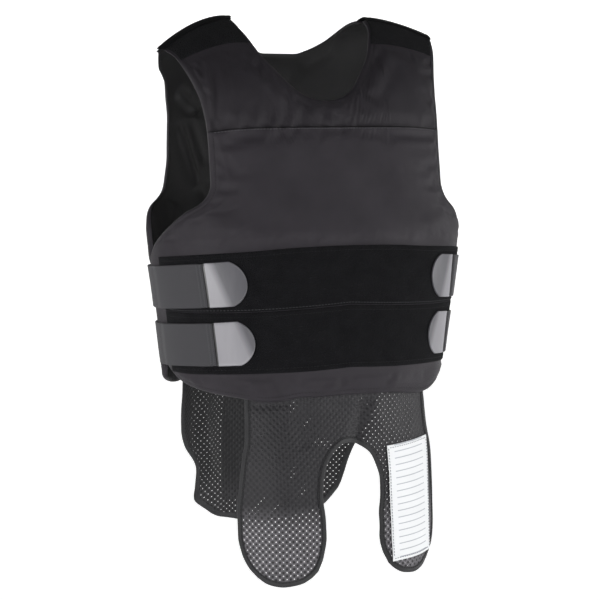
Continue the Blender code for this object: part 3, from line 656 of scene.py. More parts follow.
BACK_HEM = table(
    "across height",
    (0.000, -0.404), (0.080, -0.404), (0.130, -0.402), (0.158, -0.398), (0.176, -0.389),
)
BACK_ARMHOLE = table(
    "across height",
    (0.205, -0.245), (0.204, -0.229), (0.196, -0.213), (0.180, -0.2015), (0.161, -0.1935), (0.149, -0.184),
    (0.1430, -0.169), (0.1380, -0.146), (0.1372, -0.104), (0.1415, -0.076), (0.147, -0.052), (0.152, -0.042),
    (0.159, -0.028), (0.167, 0.008), (0.170, 0.024),
)
BACK_NECK = table(
    "across height",
    (0.000, -0.028), (0.020, -0.028), (0.034, -0.024), (0.054, -0.014), (0.066, -0.002), (0.075, 0.012),
    (0.084, 0.024),
)
FRONT_SIDE = table(
    "across height",
    (0.226, -0.387), (0.241, -0.373), (0.249, -0.352), (0.253, -0.325), (0.254, -0.300), (0.252, -0.280),
    (0.245, -0.263), (0.230, -0.246), (0.205, -0.228), (0.176, -0.207), (0.158, -0.197), (0.149, -0.188),
    (0.1445, -0.176), (0.144, -0.160), (0.1435, -0.114), (0.1455, -0.080), (0.149, -0.062), (0.156, -0.034),
    (0.164, -0.006), (0.172, 0.024),
)
SIDE_GAP = 0.009
SIDE_BOTTOM = -0.375
SIDE_TOP = -0.262


def back_side():
    """The back panel's side edge: the cloth left over by the front panel's, less the gap at the side,
    between its lower corner and the start of its armhole."""
    front = curve(FRONT_SIDE, OUTLINE_POINTS)
    height = np.linspace(SIDE_BOTTOM, SIDE_TOP, 7)
    rising = front[: np.argmax(front[:, 1] > SIDE_TOP)]
    across = half_girth(height) - np.interp(height, rising[:, 1], rising[:, 0]) - SIDE_GAP
    return {"across": np.concatenate([BACK_HEM["across"][-1:], across, BACK_ARMHOLE["across"]]),
            "height": np.concatenate([BACK_HEM["height"][-1:], height, BACK_ARMHOLE["height"]])}


BACK_PULLS = table(
    "across height  size   step_across step_height",
    (-0.155, -0.398, 0.032, 0.000,      -0.011),
    (-0.180, -0.392, 0.016, -0.008,     -0.005),
    (-0.176, 0.034,  0.022, -0.009,     0.000),
    (0.140,  -0.100, 0.062, 0.0072,     0.000),
    (0.146,  -0.178, 0.028, 0.0036,     0.000),
)
FLARE_LIFT = 0.004
FLARE_ACROSS = -0.176
FLARE_HEIGHT = -0.392
FLARE_SIZE = 0.024
BACK_FREE = (0.003, 0.016)
BACK_SINK = 0.0004
BACK_RIPPLE = 0.0005
PAD_FREE = (0.004, 0.014)
SHOULDER_FREE = (0.0, -0.040)
BACK_FOLDS = table(
    "across  height  to_across to_height width   depth",
    (-0.060, -0.080, -0.085,   -0.150,   0.012,  0.0018),
    (0.055,  -0.075, 0.080,    -0.140,   0.012,  0.0016),
    (-0.120, -0.215, -0.060,   -0.245,   0.014,  0.0014),
    (0.115,  -0.220, 0.055,    -0.250,   0.014,  0.0016),
    (-0.020, -0.060, 0.030,    -0.066,   0.010,  0.0010),
    (-0.150, -0.380, -0.100,   -0.386,   0.008,  0.0012),
    (0.100,  -0.388, 0.150,    -0.378,   0.008,  0.0012),
    (0.010,  -0.330, 0.030,    -0.385,   0.012,  0.0012),
)
LINING_FOLDS = table(
    "across  height  to_across to_height width   depth",
    (-0.130, -0.066, -0.098,   -0.094,   0.008,  -0.0048),
    (-0.104, -0.100, -0.090,   -0.064,   0.008,  -0.0034),
    (-0.124, -0.106, -0.096,   -0.184,   0.008,  -0.0052),
    (-0.108, -0.100, -0.084,   -0.160,   0.007,  -0.0026),
    (-0.094, -0.180, -0.075,   -0.215,   0.010,  -0.0034),
    (-0.135, -0.200, -0.150,   -0.235,   0.010,  -0.0020),
    (-0.060, -0.050, 0.020,    -0.062,   0.012,  -0.0020),
    (0.030,  -0.045, 0.070,    -0.020,   0.010,  -0.0018),
    (0.110,  -0.100, 0.085,    -0.190,   0.011,  -0.0024),
    (-0.020, -0.130, 0.030,    -0.250,   0.014,  -0.0018),
)
CHARCOAL_TONES = (0.0172, 0.0150, 0.0185), (0.0228, 0.0202, 0.0243)
CHARCOAL = nylon_finish("charcoal_nylon", *CHARCOAL_TONES, 0.60)
LINING = satin_finish()
DARK_THREAD = thread_finish("dark_thread", (0.016, 0.015, 0.017))


def padded_panel(node_name, pattern, outer_lift, inner_lift, free, held, cloth, back):
    """A panel as a padded piece: its outer cloth, swollen by the pad where it is free, and its lining."""
    top, under = (place(pattern[..., 0], pattern[..., 1], lift, back) for lift in (outer_lift, inner_lift))
    outer = laid(pattern, outer_lift + free * swollen(top, under, held), back)
    made = layered(f"{node_name}_cloth", pattern, outer, under.reshape(-1, 3), [cloth, LINING], (0, 1, 0))
    stand_in(made, node_name)


outline, reach = panel_pattern(BACK_HEM, back_side(), BACK_NECK)
from_flare = (outline[..., 0] - FLARE_ACROSS) ** 2 + (outline[..., 1] - FLARE_HEIGHT) ** 2
flare = FLARE_LIFT * np.exp(-from_flare / FLARE_SIZE**2)
outline = pulled(outline, BACK_PULLS)
spread_across, spread_height = outline[..., 0], outline[..., 1]
free = ramp(reach, *BACK_FREE)
outer_lift = pad_lift(spread_across, spread_height, reach) + flare
outer_lift += free * (folds(BACK_FOLDS, spread_across, spread_height) - BACK_SINK)
outer_lift += free * BACK_RIPPLE * ripple(spread_across, spread_height)
inner_lift = lining_lift(reach) + flare + free * folds(LINING_FOLDS, spread_across, spread_height)
held = 1 - ramp(reach, *PAD_FREE) * ramp(spread_height, *SHOULDER_FREE)
padded_panel("back_panel", outline, outer_lift, inner_lift, free, held, CHARCOAL, True)
sew("back_panel_stitches", edge_stitches(BACK_HEM, back_side(), BACK_NECK, BACK_PULLS, True), DARK_THREAD)


# Front panel: made as the back panel is, with a yoke seam across the chest, where the cloth of the yoke is
# tucked under the chest's and stitched down. The cloth above the seam puckers a little.

FRONT_HEM = table(
    "across height",
    (0.000, -0.410), (0.055, -0.4115), (0.100, -0.413), (0.145, -0.4095),
    (0.181, -0.404), (0.204, -0.398), (0.226, -0.387),
)
FRONT_NECK = table(
    "across height",
    (0.000, -0.084), (0.012, -0.0825), (0.021, -0.080), (0.035, -0.0715), (0.052, -0.0525), (0.068, -0.0315),
    (0.076, -0.016), (0.0825, -0.001), (0.087, 0.024),
)
YOKE_HEIGHT = -0.1144
YOKE_TILT = 0.005
YOKE_DROP = 0.0016
YOKE_FOLD = 0.0006
YOKE_SINK = 0.0010
YOKE_PUCKER = 0.0016
YOKE_HALF = 0.14
YOKE_SHOWN = 0.0016
YOKE_SINK_REACH = 0.007
YOKE_FOLD_REACH = 0.006
YOKE_STITCHES_BELOW = 0.0022
PUCKER_LEAN = 0.12
FRONT_FREE = (0.002, 0.010)
FRONT_RIPPLE = 0.0004
SEAM_FREE = (0.001, 0.006)
UNDER_PATCHES = (-0.022, -0.032)
UNDER_BANDS_TOP = (-0.247, -0.236)
UNDER_BANDS_BOTTOM = (-0.387, -0.392)
FRONT_PULLS = table(
    "across height  size   step_across step_height",
    (0.108,  -0.416, 0.040, 0.000,      -0.0046),
    (-0.092, -0.412, 0.020, 0.000,      -0.0030),
    (-0.055, -0.411, 0.012, 0.000,      0.0012),
    (0.205,  -0.400, 0.020, 0.0010,     -0.0028),
    (0.146,  -0.095, 0.060, 0.0056,     0.0000),
    (0.146,  -0.170, 0.030, 0.0030,     0.0000),
    (0.160,  -0.020, 0.030, 0.0030,     0.0000),
)
FRONT_FOLDS = table(
    "across  height  to_across to_height width   depth",
    (-0.1315, -0.032, -0.1380, -0.106,   0.0042, 0.0020),
    (-0.1245, -0.036, -0.1345, -0.124,   0.0048, -0.0026),
    (-0.1165, -0.050, -0.1190, -0.122,   0.0050, 0.0016),
    (-0.078, -0.042, -0.046,   -0.084,   0.0060, -0.0018),
    (-0.090, -0.048, -0.056,   -0.092,   0.0070, 0.0013),
    (0.090,  -0.023, 0.042,    -0.077,   0.0056, -0.0020),
    (0.100,  -0.026, 0.050,    -0.081,   0.0070, 0.0012),
    (0.110,  -0.038, 0.060,    -0.090,   0.0070, -0.0013),
    (-0.072, -0.070, -0.058,   -0.128,   0.0046, -0.0018),
    (-0.050, -0.076, -0.044,   -0.124,   0.0042, -0.0020),
    (-0.150, -0.215, -0.080,   -0.236,   0.0100, 0.0012),
    (0.150,  -0.215, 0.085,    -0.238,   0.0100, 0.0014),
    (-0.010, -0.150, 0.020,    -0.235,   0.0200, 0.0010),
    (0.070,  -0.130, 0.090,    -0.230,   0.0180, 0.0012),
    (-0.100, -0.130, -0.085,   -0.220,   0.0180, 0.0010),
    (0.176,  -0.388, 0.181,    -0.408,   0.0035, 0.0016),
    (0.190,  -0.387, 0.196,    -0.404,   0.0035, -0.0014),
    (0.204,  -0.385, 0.209,    -0.396,   0.0035, 0.0014),
    (0.160,  -0.389, 0.163,    -0.410,   0.0045, -0.0008),
    (-0.180, -0.390, -0.176,   -0.402,   0.0040, 0.0012),
    (-0.112, -0.389, -0.104,   -0.409,   0.0060, 0.0012),
    (-0.085, -0.391, -0.078,   -0.410,   0.0060, -0.0010),
    (-0.020, -0.389, -0.028,   -0.409,   0.0070, 0.0008),
    (0.060,  -0.387, 0.052,    -0.407,   0.0060, 0.0010),
)
PUCKERS = table(
    "across  reach  width   depth",
    (-0.124, 0.012, 0.0040, -0.6),
    (-0.111, 0.016, 0.0035, 0.7),
    (-0.100, 0.022, 0.0040, -1.0),
    (-0.090, 0.018, 0.0038, 0.9),
    (-0.079, 0.026, 0.0045, -1.1),
    (-0.068, 0.020, 0.0040, 0.9),
    (-0.058, 0.016, 0.0035, -0.9),
    (-0.048, 0.024, 0.0042, 1.0),
    (-0.036, 0.018, 0.0040, -0.8),
    (-0.024, 0.022, 0.0046, 0.8),
    (-0.011, 0.014, 0.0040, -0.8),
    (0.000,  0.012, 0.0038, 0.7),
    (0.013,  0.010, 0.0040, -0.5),
    (0.026,  0.010, 0.0040, 0.5),
    (0.045,  0.012, 0.0045, -0.4),
    (0.066,  0.010, 0.0040, 0.4),
    (0.092,  0.012, 0.0050, -0.4),
    (0.118,  0.010, 0.0040, 0.4),
)


def yoke_line(across):
    """The height of the yoke seam: a line with a slight tilt that falls near the armholes."""
    return YOKE_HEIGHT + YOKE_TILT * across - YOKE_DROP * (across / YOKE_HALF) ** 4


def yoke_relief(across, height):
    """The seam's relief: the cloth above it sinks towards it and puckers, and the cloth below it is doubled,
    so it stands a little higher. Each pucker is a bell curve across that dies out with distance above."""
    above = height - yoke_line(across)
    upper = np.clip(above, 0, None)
    shown = ramp(above, -YOKE_SHOWN, YOKE_SHOWN)
    away = (across[..., None] - PUCKERS["across"] - PUCKER_LEAN * upper[..., None]) / PUCKERS["width"]
    dies = np.exp(-((upper[..., None] / PUCKERS["reach"]) ** 2))
    puckers = YOKE_PUCKER * (PUCKERS["depth"] * np.exp(-(away**2)) * dies).sum(-1)
    sink = -YOKE_SINK * np.exp(-upper / YOKE_SINK_REACH)
    fold = YOKE_FOLD * np.exp(-((np.clip(-above, 0, None) / YOKE_FOLD_REACH) ** 2))
    return shown * (puckers + sink) + (1 - shown) * fold


def seam_groove_and_painted_shade(tree, cloth):
    """The yoke seam drawn in the cloth's own coordinates, from 0 away from it to 1 in it: the same curve as
    the relief's, a millimetre wide. Its colour is darkened in the seam's groove, and a little on the yoke
    above it, which tilts away from the light: painted shade."""
    split = node(tree, "ShaderNodeSeparateXYZ", {0: cloth})
    share = math(tree, "DIVIDE", split.outputs["X"], YOKE_HALF)
    square = math(tree, "MULTIPLY", share, share)
    ends = math(tree, "MULTIPLY", math(tree, "MULTIPLY", square, square), -YOKE_DROP)
    tilt = math(tree, "MULTIPLY", split.outputs["X"], YOKE_TILT)
    seam = math(tree, "ADD", math(tree, "ADD", ends, tilt), YOKE_HEIGHT)
    above = math(tree, "SUBTRACT", split.outputs["Y"], seam)
    groove = spread(tree, math(tree, "ABSOLUTE", above), 0.0003, 0.0011, 1.0, 0.0)
    return math(tree, "MAXIMUM", groove, spread(tree, above, 0.0, 0.0010, 0.0, 0.24))


# The chest's nylon, with the yoke seam's groove and the yoke above it darkened: painted shade.
SEAMED_SHADED_CHARCOAL = nylon_finish("charcoal_nylon_with_seam_shade", *CHARCOAL_TONES, 0.60, seam_groove_and_painted_shade)


def off_the_bands(height):
    """1 where the cloth is free, 0 under the loop bands and the shoulder patches, which hold it flat."""
    above = ramp(height, *UNDER_BANDS_TOP) * ramp(height, *UNDER_PATCHES)
    return np.maximum(above, ramp(height, *UNDER_BANDS_BOTTOM))


outline, reach = panel_pattern(FRONT_HEM, FRONT_SIDE, FRONT_NECK)
outline = pulled(outline, FRONT_PULLS)
spread_across, spread_height = outline[..., 0], outline[..., 1]
off_bands = off_the_bands(spread_height)
free = ramp(reach, *FRONT_FREE) * off_bands
uneven = FRONT_RIPPLE * ripple(spread_across, spread_height)
outer_lift = pad_lift(spread_across, spread_height, reach)
outer_lift += free * (folds(FRONT_FOLDS, spread_across, spread_height) + uneven)
outer_lift += ramp(reach, *SEAM_FREE) * yoke_relief(spread_across, spread_height)
off_yoke = ramp(np.abs(spread_height - yoke_line(spread_across)), *SEAM_FREE)
held = 1 - ramp(reach, *PAD_FREE) * off_bands * off_yoke
padded_panel("front_panel", outline, outer_lift, lining_lift(reach), free, held, SEAMED_SHADED_CHARCOAL, False)
sew("front_panel_stitches", edge_stitches(FRONT_HEM, FRONT_SIDE, FRONT_NECK, FRONT_PULLS, False), DARK_THREAD)
yoke_across = np.linspace(-0.137, 0.137, 200)
yoke_stitches = np.stack([yoke_across, yoke_line(yoke_across) - YOKE_STITCHES_BELOW], axis=-1)
sew("yoke_stitches", [running(yoke_stitches, PAD_THICK + YOKE_FOLD + 0.0004, False, *SHORT_STITCH)],
    thread_finish("yoke_thread", (0.110, 0.106, 0.114)))


# Tails: one layer of perforated knitted mesh at the front, split into two lobes, and a longer one at the
# back. Both are sewn inside the hems and hang freely. Their cut edges are bound with folded tape.

FRONT_TAIL_TOP = -0.388
BACK_TAIL_TOP = -0.386
WAVE_TOP = -0.405
WAVE_FULL = -0.555
BACK_WAVE = -0.004
BACK_WAVE_HALF = 0.10
FRONT_WAVE = 0.003
FRONT_WAVE_HALF = 0.06
LOBE_MIDDLE = 0.08
TAIL_FREE = (-0.402, -0.430)
FRONT_TAIL_OUTER = table(
    "across height",
    (0.121, FRONT_TAIL_TOP), (0.121, -0.430), (0.122, -0.455), (0.128, -0.482), (0.133, -0.511),
    (0.137, -0.540), (0.137, -0.566), (0.133, -0.585), (0.124, -0.601), (0.113, -0.610),
)
FRONT_TAIL_BOTTOM = table(
    "across height",
    (0.113, -0.610), (0.098, -0.617), (0.082, -0.620), (0.066, -0.618), (0.054, -0.612), (0.045, -0.604),
)
FRONT_TAIL_INNER = table(
    "across height",
    (0.045, -0.604), (0.037, -0.588), (0.034, -0.570), (0.034, -0.550), (0.0365, -0.525), (0.0355, -0.507),
    (0.031, -0.491), (0.024, -0.479), (0.015, -0.470), (0.006, -0.4645), (0.000, -0.464),
)
BACK_TAIL_SIDE = table(
    "across height",
    (0.142, BACK_TAIL_TOP), (0.142, -0.435), (0.135, -0.472), (0.125, -0.492), (0.114, -0.510),
    (0.106, -0.530), (0.101, -0.547), (0.095, -0.563), (0.086, -0.575),
)
BACK_TAIL_BOTTOM = table(
    "across height",
    (0.086, -0.575), (0.076, -0.585), (0.064, -0.591), (0.035, -0.596), (0.000, -0.597),
)
TAIL_FOLDS = table(
    "across  height  to_across to_height width   depth",
    (-0.118, -0.418, -0.060,   -0.415,   0.0065, -0.0050),
    (-0.084, -0.430, -0.088,   -0.600,   0.0160, 0.0020),
    (-0.060, -0.420, -0.052,   -0.470,   0.0100, -0.0022),
    (-0.030, -0.415, 0.010,    -0.440,   0.0110, -0.0018),
    (0.030,  -0.420, 0.048,    -0.460,   0.0110, 0.0020),
    (0.085,  -0.410, 0.078,    -0.470,   0.0120, -0.0016),
    (0.126,  -0.400, 0.136,    -0.640,   0.0160, 0.0040),
    (0.030,  -0.400, 0.006,    -0.470,   0.0085, -0.0060),
)
BACK_TAIL_FOLDS = table(
    "across  height  to_across to_height width   depth",
    (-0.122, -0.410, -0.092,   -0.560,   0.0100, 0.0035),
    (-0.098, -0.410, -0.076,   -0.540,   0.0090, -0.0035),
    (-0.070, -0.430, -0.060,   -0.560,   0.0100, 0.0020),
    (0.060,  -0.430, 0.062,    -0.560,   0.0120, 0.0028),
    (0.100,  -0.420, 0.084,    -0.540,   0.0110, -0.0026),
    (0.005,  -0.450, 0.000,    -0.590,   0.0140, -0.0020),
)
TAIL_PULLS = table(
    "across height  size   step_across step_height",
    (-0.094, -0.565, 0.014, -0.009,     0.001),
    (-0.110, -0.522, 0.020, 0.0085,     0.000),
    (-0.136, -0.470, 0.024, 0.0010,     0.000),
    (-0.056, -0.594, 0.022, 0.0000,     0.0026),
)
FRONT_TAIL_PULLS = table(
    "across height  size   step_across step_height",
    (0.026,  -0.478, 0.014, 0.0024,     0.0010),
    (0.034,  -0.505, 0.016, 0.0024,     0.000),
    (0.036,  -0.532, 0.016, 0.0012,     0.000),
    (0.034,  -0.560, 0.016, 0.0020,     0.000),
    (0.040,  -0.595, 0.016, 0.0016,     -0.001),
    (-0.034, -0.505, 0.018, 0.0016,     0.000),
    (-0.036, -0.535, 0.018, 0.0016,     0.000),
    (-0.034, -0.565, 0.018, 0.0018,     0.000),
    (-0.045, -0.604, 0.018, 0.0012,     -0.001),
    (-0.100, -0.617, 0.020, -0.0016,    -0.0016),
)
MESH_TOP = -0.0021
MESH_THICK = 0.0008
MESH_ACROSS = 0.0076
MESH_ROW = 0.00375
MESH_HOLE = 0.00070
MESH_INSET = 0.0010
MESH_RIM = 0.0021
MESH_TOP_ROW = 0.004
SAME_CORNER = 1e-5


def tail_hang(across, height, back):
    """How far a tail hangs off the wearer's surface: slow waves that grow below the hem, and soft folds."""
    grown = ramp(height, WAVE_TOP, WAVE_FULL)
    free_cloth = ramp(height, *TAIL_FREE)
    if back:
        slow = BACK_WAVE * grown * np.cos(across * np.pi / BACK_WAVE_HALF)
        return slow + free_cloth * folds(BACK_TAIL_FOLDS, across, height)
    slow = FRONT_WAVE * grown * np.cos((np.abs(across) - LOBE_MIDDLE) * np.pi / FRONT_WAVE_HALF)
    return slow + free_cloth * folds(TAIL_FOLDS, across, height)


def tail_place(line, lift, back):
    """Points of a tail at a lift from its own hanging surface. The pulls give the tails their own slightly
    uneven outlines."""
    across, height = line[..., 0], line[..., 1]
    hang = tail_hang(across, height, back)
    line = pulled(line, TAIL_PULLS if back else FRONT_TAIL_PULLS)
    return place(line[..., 0], line[..., 1], lift + hang, back)


def tail_edge(*outlines):
    """The whole finished edge of a tail, from its outer top corner on the wearer's left round to the
    right. Each outline comes with its number of points."""
    parts = [curve(outline, count) for outline, count in outlines]
    half = np.concatenate([parts[0]] + [part[1:] for part in parts[1:]])
    return np.concatenate([half, (half * (-1, 1))[-2::-1]])


def inside(places, loop):
    """Whether places lie inside a closed loop: a ray from each crosses it an odd number of times."""
    a, b = loop, np.roll(loop, -1, axis=0)
    x, y = places[:, None, 0], places[:, None, 1]
    crosses = (a[:, 1] > y) != (b[:, 1] > y)
    span = np.where(b[:, 1] == a[:, 1], 1.0, b[:, 1] - a[:, 1])
    at = a[:, 0] + (y - a[:, 1]) * (b[:, 0] - a[:, 0]) / span
    return (crosses & (x < at)).sum(axis=1) % 2 == 1


def perforated(edge):
    """Mesh cloth: rows of six-cornered cells, each row half a cell on from the last, each cell with a
    six-sided hole, over the part of the pattern inside the finished edge. Neighbours share their corners,
    and corners beyond the edge are moved back to it."""
    low, high = edge.min(axis=0), edge.max(axis=0)
    rows = np.arange(int(low[1] / MESH_ROW) - 1, int(high[1] / MESH_ROW) + 2)
    columns = np.arange(int(low[0] / MESH_ACROSS) - 1, int(high[0] / MESH_ACROSS) + 2)
    i, j = np.meshgrid(columns, rows)
    centres = np.stack([(i + (j % 2) / 2) * MESH_ACROSS, j * MESH_ROW], axis=-1).reshape(-1, 2)
    loop = inset(edge[::-1], MESH_INSET)
    centres = centres[inside(centres, inset(edge[::-1], MESH_RIM)) & (centres[:, 1] < edge[0, 1])]
    corner = np.array([(0.5, 0.5), (0, 0.5), (-0.5, 0.5), (-0.5, -0.5), (0, -0.5), (0.5, -0.5)])
    turn = np.radians(30 + 60 * np.arange(6))
    outer = (centres[:, None] + corner * (MESH_ACROSS, MESH_ROW)).reshape(-1, 2)
    hole = (centres[:, None] + np.stack([np.cos(turn), np.sin(turn)], axis=-1) * MESH_HOLE).reshape(-1, 2)
    spots = np.round(outer / SAME_CORNER)
    _, first, shared = np.unique(spots, axis=0, return_index=True, return_inverse=True)
    corners = outer[first]
    beyond = ~inside(corners, loop) & (corners[:, 1] < edge[0, 1] - MESH_TOP_ROW)
    span = np.linalg.norm(corners[beyond, None] - loop, axis=-1)
    corners[beyond] = loop[span.argmin(axis=1)]
    shared = shared.reshape(-1, 6)
    holes = np.arange(len(hole)).reshape(-1, 6) + len(corners)
    faces = np.stack([shared, np.roll(shared, -1, axis=1), np.roll(holes, -1, axis=1), holes], axis=-1)
    return np.concatenate([corners, hole]), faces.reshape(-1, 4)


def knit_finish(name, dark, light, pale):
    """Knitted mesh: grey strands in arcs round each hole, with sunk ovals between the holes of a row. The
    ovals
    are darker: painted shade.
    The pattern is the product of a cosine across and a cosine up, 1 at the holes and -1 at the ovals. The
    strands are painted paler towards the lower end of a lobe: painted light."""
    made, tree, shader, cloth = finish(name, 0.55, sheen=0.04, sheen_roughness=0.35, specular=0.26)
    split = node(tree, "ShaderNodeSeparateXYZ", {0: cloth})
    along = math(tree, "COSINE", math(tree, "MULTIPLY", split.outputs["X"], 2 * np.pi / MESH_ACROSS))
    upward = math(tree, "COSINE", math(tree, "MULTIPLY", split.outputs["Y"], np.pi / MESH_ROW))
    cell = math(tree, "MULTIPLY", along, upward)
    # Light on the strands, dark in the sunk ovals: the ovals' darkness is painted shade.
    strand = spread(tree, cell, -0.85, 0.15)
    fibres = mottle(tree, cloth, 1500.0, 3.0)
    worn = spread(tree, mottle(tree, cloth, 40.0, 3.0), 0.3, 0.7, 0.7, 1.0)
    hairy = spread(tree, fibres, 0.3, 0.7, 0.6, 1.0)
    tone = math(tree, "MULTIPLY", math(tree, "MULTIPLY", strand, worn), hairy)
    shade = tuple(0.45 * part for part in light)
    # Paler strands towards the lower end of a lobe, up to the pale colour: painted light.
    painted_light_share = spread(tree, split.outputs["Y"], KNIT_PAINTED_LIGHT_TOP, KNIT_PAINTED_LIGHT_FULL)
    upper, lower = colour_mix(tree, tone, shade, light), colour_mix(tree, tone, dark, pale)
    coloured(tree, shader, painted_light_share, upper, lower)
    relief(tree, shader, math(tree, "ADD", strand, math(tree, "MULTIPLY", fibres, 0.3)), 0.0006, 0.9)
    return made


# Heights where the painted light on the lower end of a lobe begins and where it is full.
KNIT_PAINTED_LIGHT_TOP = -0.530
KNIT_PAINTED_LIGHT_FULL = -0.562
# The reverse is a darker copy of the knit for the undersides: painted shade for the back tail's inner side,
# which lies in shadow.
KNITS = [
    knit_finish("black_mesh_knit_face", (0.006, 0.006, 0.007), (0.021, 0.020, 0.023), (0.150, 0.143, 0.156)),
    knit_finish("black_mesh_knit_reverse_painted_shade", (0.003, 0.003, 0.0035), (0.012, 0.012, 0.0135),
                (0.030, 0.029, 0.032)),
]


def mesh_tail(name, edge, back):
    """A tail's mesh cloth as one thin closed sheet."""
    pattern, faces = perforated(edge)
    top = tail_place(pattern, MESH_TOP, back)
    under = tail_place(pattern, MESH_TOP - MESH_THICK, back)
    # Undersides and walls take the darker reverse copy: painted shade.
    return layered(name, pattern, top, under, KNITS, (0, 1, 1), faces)


TAPE_WIDTH = 0.0064
TAPE_THICK = 0.0005
TAPE_TOP = -0.0013
TAPE_UNDER = -0.0037
TAPE_FOLD = 0.0012


def tape_finish():
    """Binding tape: close ribs across it, and a slightly shiny fold."""
    made, tree, shader, cloth = finish("black_binding_tape", 0.5, sheen=0.05, specular=0.32)
    ribs = threads(tree, cloth, 0.0007)
    worn = mottle(tree, cloth, 35.0, 3.0)
    coloured(tree, shader, worn, (0.0075, 0.0075, 0.0086), (0.0145, 0.0145, 0.0162))
    relief(tree, shader, ribs, 0.00015, 0.8)
    return made


TAPE = tape_finish()


def tape_profile():
    """The tape's section, as depth from the edge and lift: an outer leg, a half round fold, the other leg,
    and back along the inside."""
    turn = np.radians(np.linspace(90, 270, 10))[1:-1]
    middle, half = (TAPE_TOP + TAPE_UNDER) / 2, (TAPE_TOP - TAPE_UNDER) / 2
    fold = np.stack([TAPE_FOLD + TAPE_FOLD * np.cos(turn), middle + half * np.sin(turn)], axis=-1)
    leg = TAPE_WIDTH * np.array([1.0, 0.93, 0.55, 0.3])
    swell = np.array([-0.0002, 0.0, 0.0, 0.0])
    outer = np.stack([leg, TAPE_TOP + swell], axis=-1)
    far = np.stack([leg[::-1], TAPE_UNDER - swell[::-1]], axis=-1)
    inner_depth = TAPE_WIDTH * np.array([1.0, 0.55, 0.16])
    back_way = np.stack([inner_depth, np.full(3, TAPE_UNDER + TAPE_THICK)], axis=-1)
    home = np.stack([inner_depth[::-1], np.full(3, TAPE_TOP - TAPE_THICK)], axis=-1)
    return np.concatenate([outer, fold, far, back_way, home])


def bound_edge(name, edge, back):
    """Tape folded over a tail's edge: the section carried along it, closed at both ends. The UV map runs
    along the tape and across it."""
    line = edge[::-1]
    rings = np.stack([tail_place(inset(line, depth), lift, back) for depth, lift in tape_profile()], axis=1)
    count = rings.shape[1]
    index = np.arange(len(line) * count).reshape(len(line), count)
    ahead = np.roll(index, -1, axis=1)
    sides = np.stack([index[:-1], index[1:], ahead[1:], ahead[:-1]], axis=-1).reshape(-1, 4)
    legs = np.stack([np.arange(0, count // 2 - 1), np.arange(1, count // 2)], axis=-1)
    cap = np.concatenate([legs, count - 1 - legs[:, ::-1]], axis=1)
    faces = np.concatenate([sides, index[0][cap], index[-1][cap[:, ::-1]]])
    along = np.concatenate([[0], np.cumsum(np.linalg.norm(np.diff(line, axis=0), axis=1))])
    wide = np.concatenate([[0], np.cumsum(np.linalg.norm(np.diff(tape_profile(), axis=0), axis=1))])
    flat = np.stack(np.meshgrid(along, wide, indexing="ij"), axis=-1).reshape(-1, 2)
    return make_piece(name, rings.reshape(-1, 3), faces, flat, [TAPE])


def tape_stitches(edge, back):
    """The line of stitches that holds the tape's two legs together."""
    line = inset(edge[::-1], TAPE_WIDTH * 0.80)
    return running(line, TAPE_TOP + STITCH_THICK, lambda places, lift: tail_place(places, lift, back))


front_edge = tail_edge((FRONT_TAIL_OUTER, 90), (FRONT_TAIL_BOTTOM, 34), (FRONT_TAIL_INNER, 80))
back_edge = tail_edge((BACK_TAIL_SIDE, 90), (BACK_TAIL_BOTTOM, 40))
tails, tapes, tape_runs = {}, {}, []
for end, edge in (("front", front_edge), ("back", back_edge)):
    behind = end == "back"
    tails[end] = stand_in(mesh_tail(f"{end}_tail_mesh", edge, behind), f"{end}_tail")
    tapes[end] = stand_in(bound_edge(f"{end}_tail_tape", edge, behind), f"{end}_tail_binding")
    tape_runs.append(tape_stitches(edge, behind))
tape_thread = sew("tail_tape_stitches", tape_runs, DARK_THREAD)


# Back tail patch: a plain piece of the carrier's nylon, hemmed and sewn flat onto the back tail, so that the
# mesh over it is backed with cloth.

PATCH_LEFT, PATCH_RIGHT, PATCH_TOP, PATCH_BOTTOM = -0.062, 0.028, -0.412, -0.570
PATCH_LIFT = -0.0011
PATCH_THICK = 0.0007
PATCH_HEM = (0.0060, 0.0075)
PATCH_HEM_THICK = 0.0004
PATCH_ROUND = 0.0015
PATCH_COLUMNS = 40
PATCH_ROWS = 70

# A paler copy of the carrier's nylon: painted light, to offset the shadow that the front tail casts over the
# patch.
PATCH_NYLON_PAINTED_LIGHT = nylon_finish("patch_nylon_painted_light", (0.021, 0.0195, 0.0225), (0.028, 0.0262, 0.0298), 0.60)

patch_across, patch_height = np.meshgrid(
    np.linspace(PATCH_LEFT, PATCH_RIGHT, PATCH_COLUMNS), np.linspace(PATCH_BOTTOM, PATCH_TOP, PATCH_ROWS),
)
patch_pattern = np.stack([patch_across, patch_height], axis=-1)
patch_edge = np.minimum(
    np.minimum(patch_across - PATCH_LEFT, PATCH_RIGHT - patch_across),
    np.minimum(patch_height - PATCH_BOTTOM, PATCH_TOP - patch_height),
)
patch_swell = PATCH_HEM_THICK * (1 - ramp(patch_edge, *PATCH_HEM)) * ramp(patch_edge, 0.0, PATCH_ROUND)
back_patch = stand_in(layered(
    "back_tail_patch_cloth", patch_pattern,
    tail_place(patch_pattern, PATCH_LIFT + patch_swell, True).reshape(-1, 3),
    tail_place(patch_pattern, PATCH_LIFT - PATCH_THICK, True).reshape(-1, 3), [PATCH_NYLON_PAINTED_LIGHT],
), "back_tail_patch")


# Label: a white woven label with a folded hem, sewn all round onto the wearer's left lobe of the front tail.
# It is bare but for faint ruled lines.

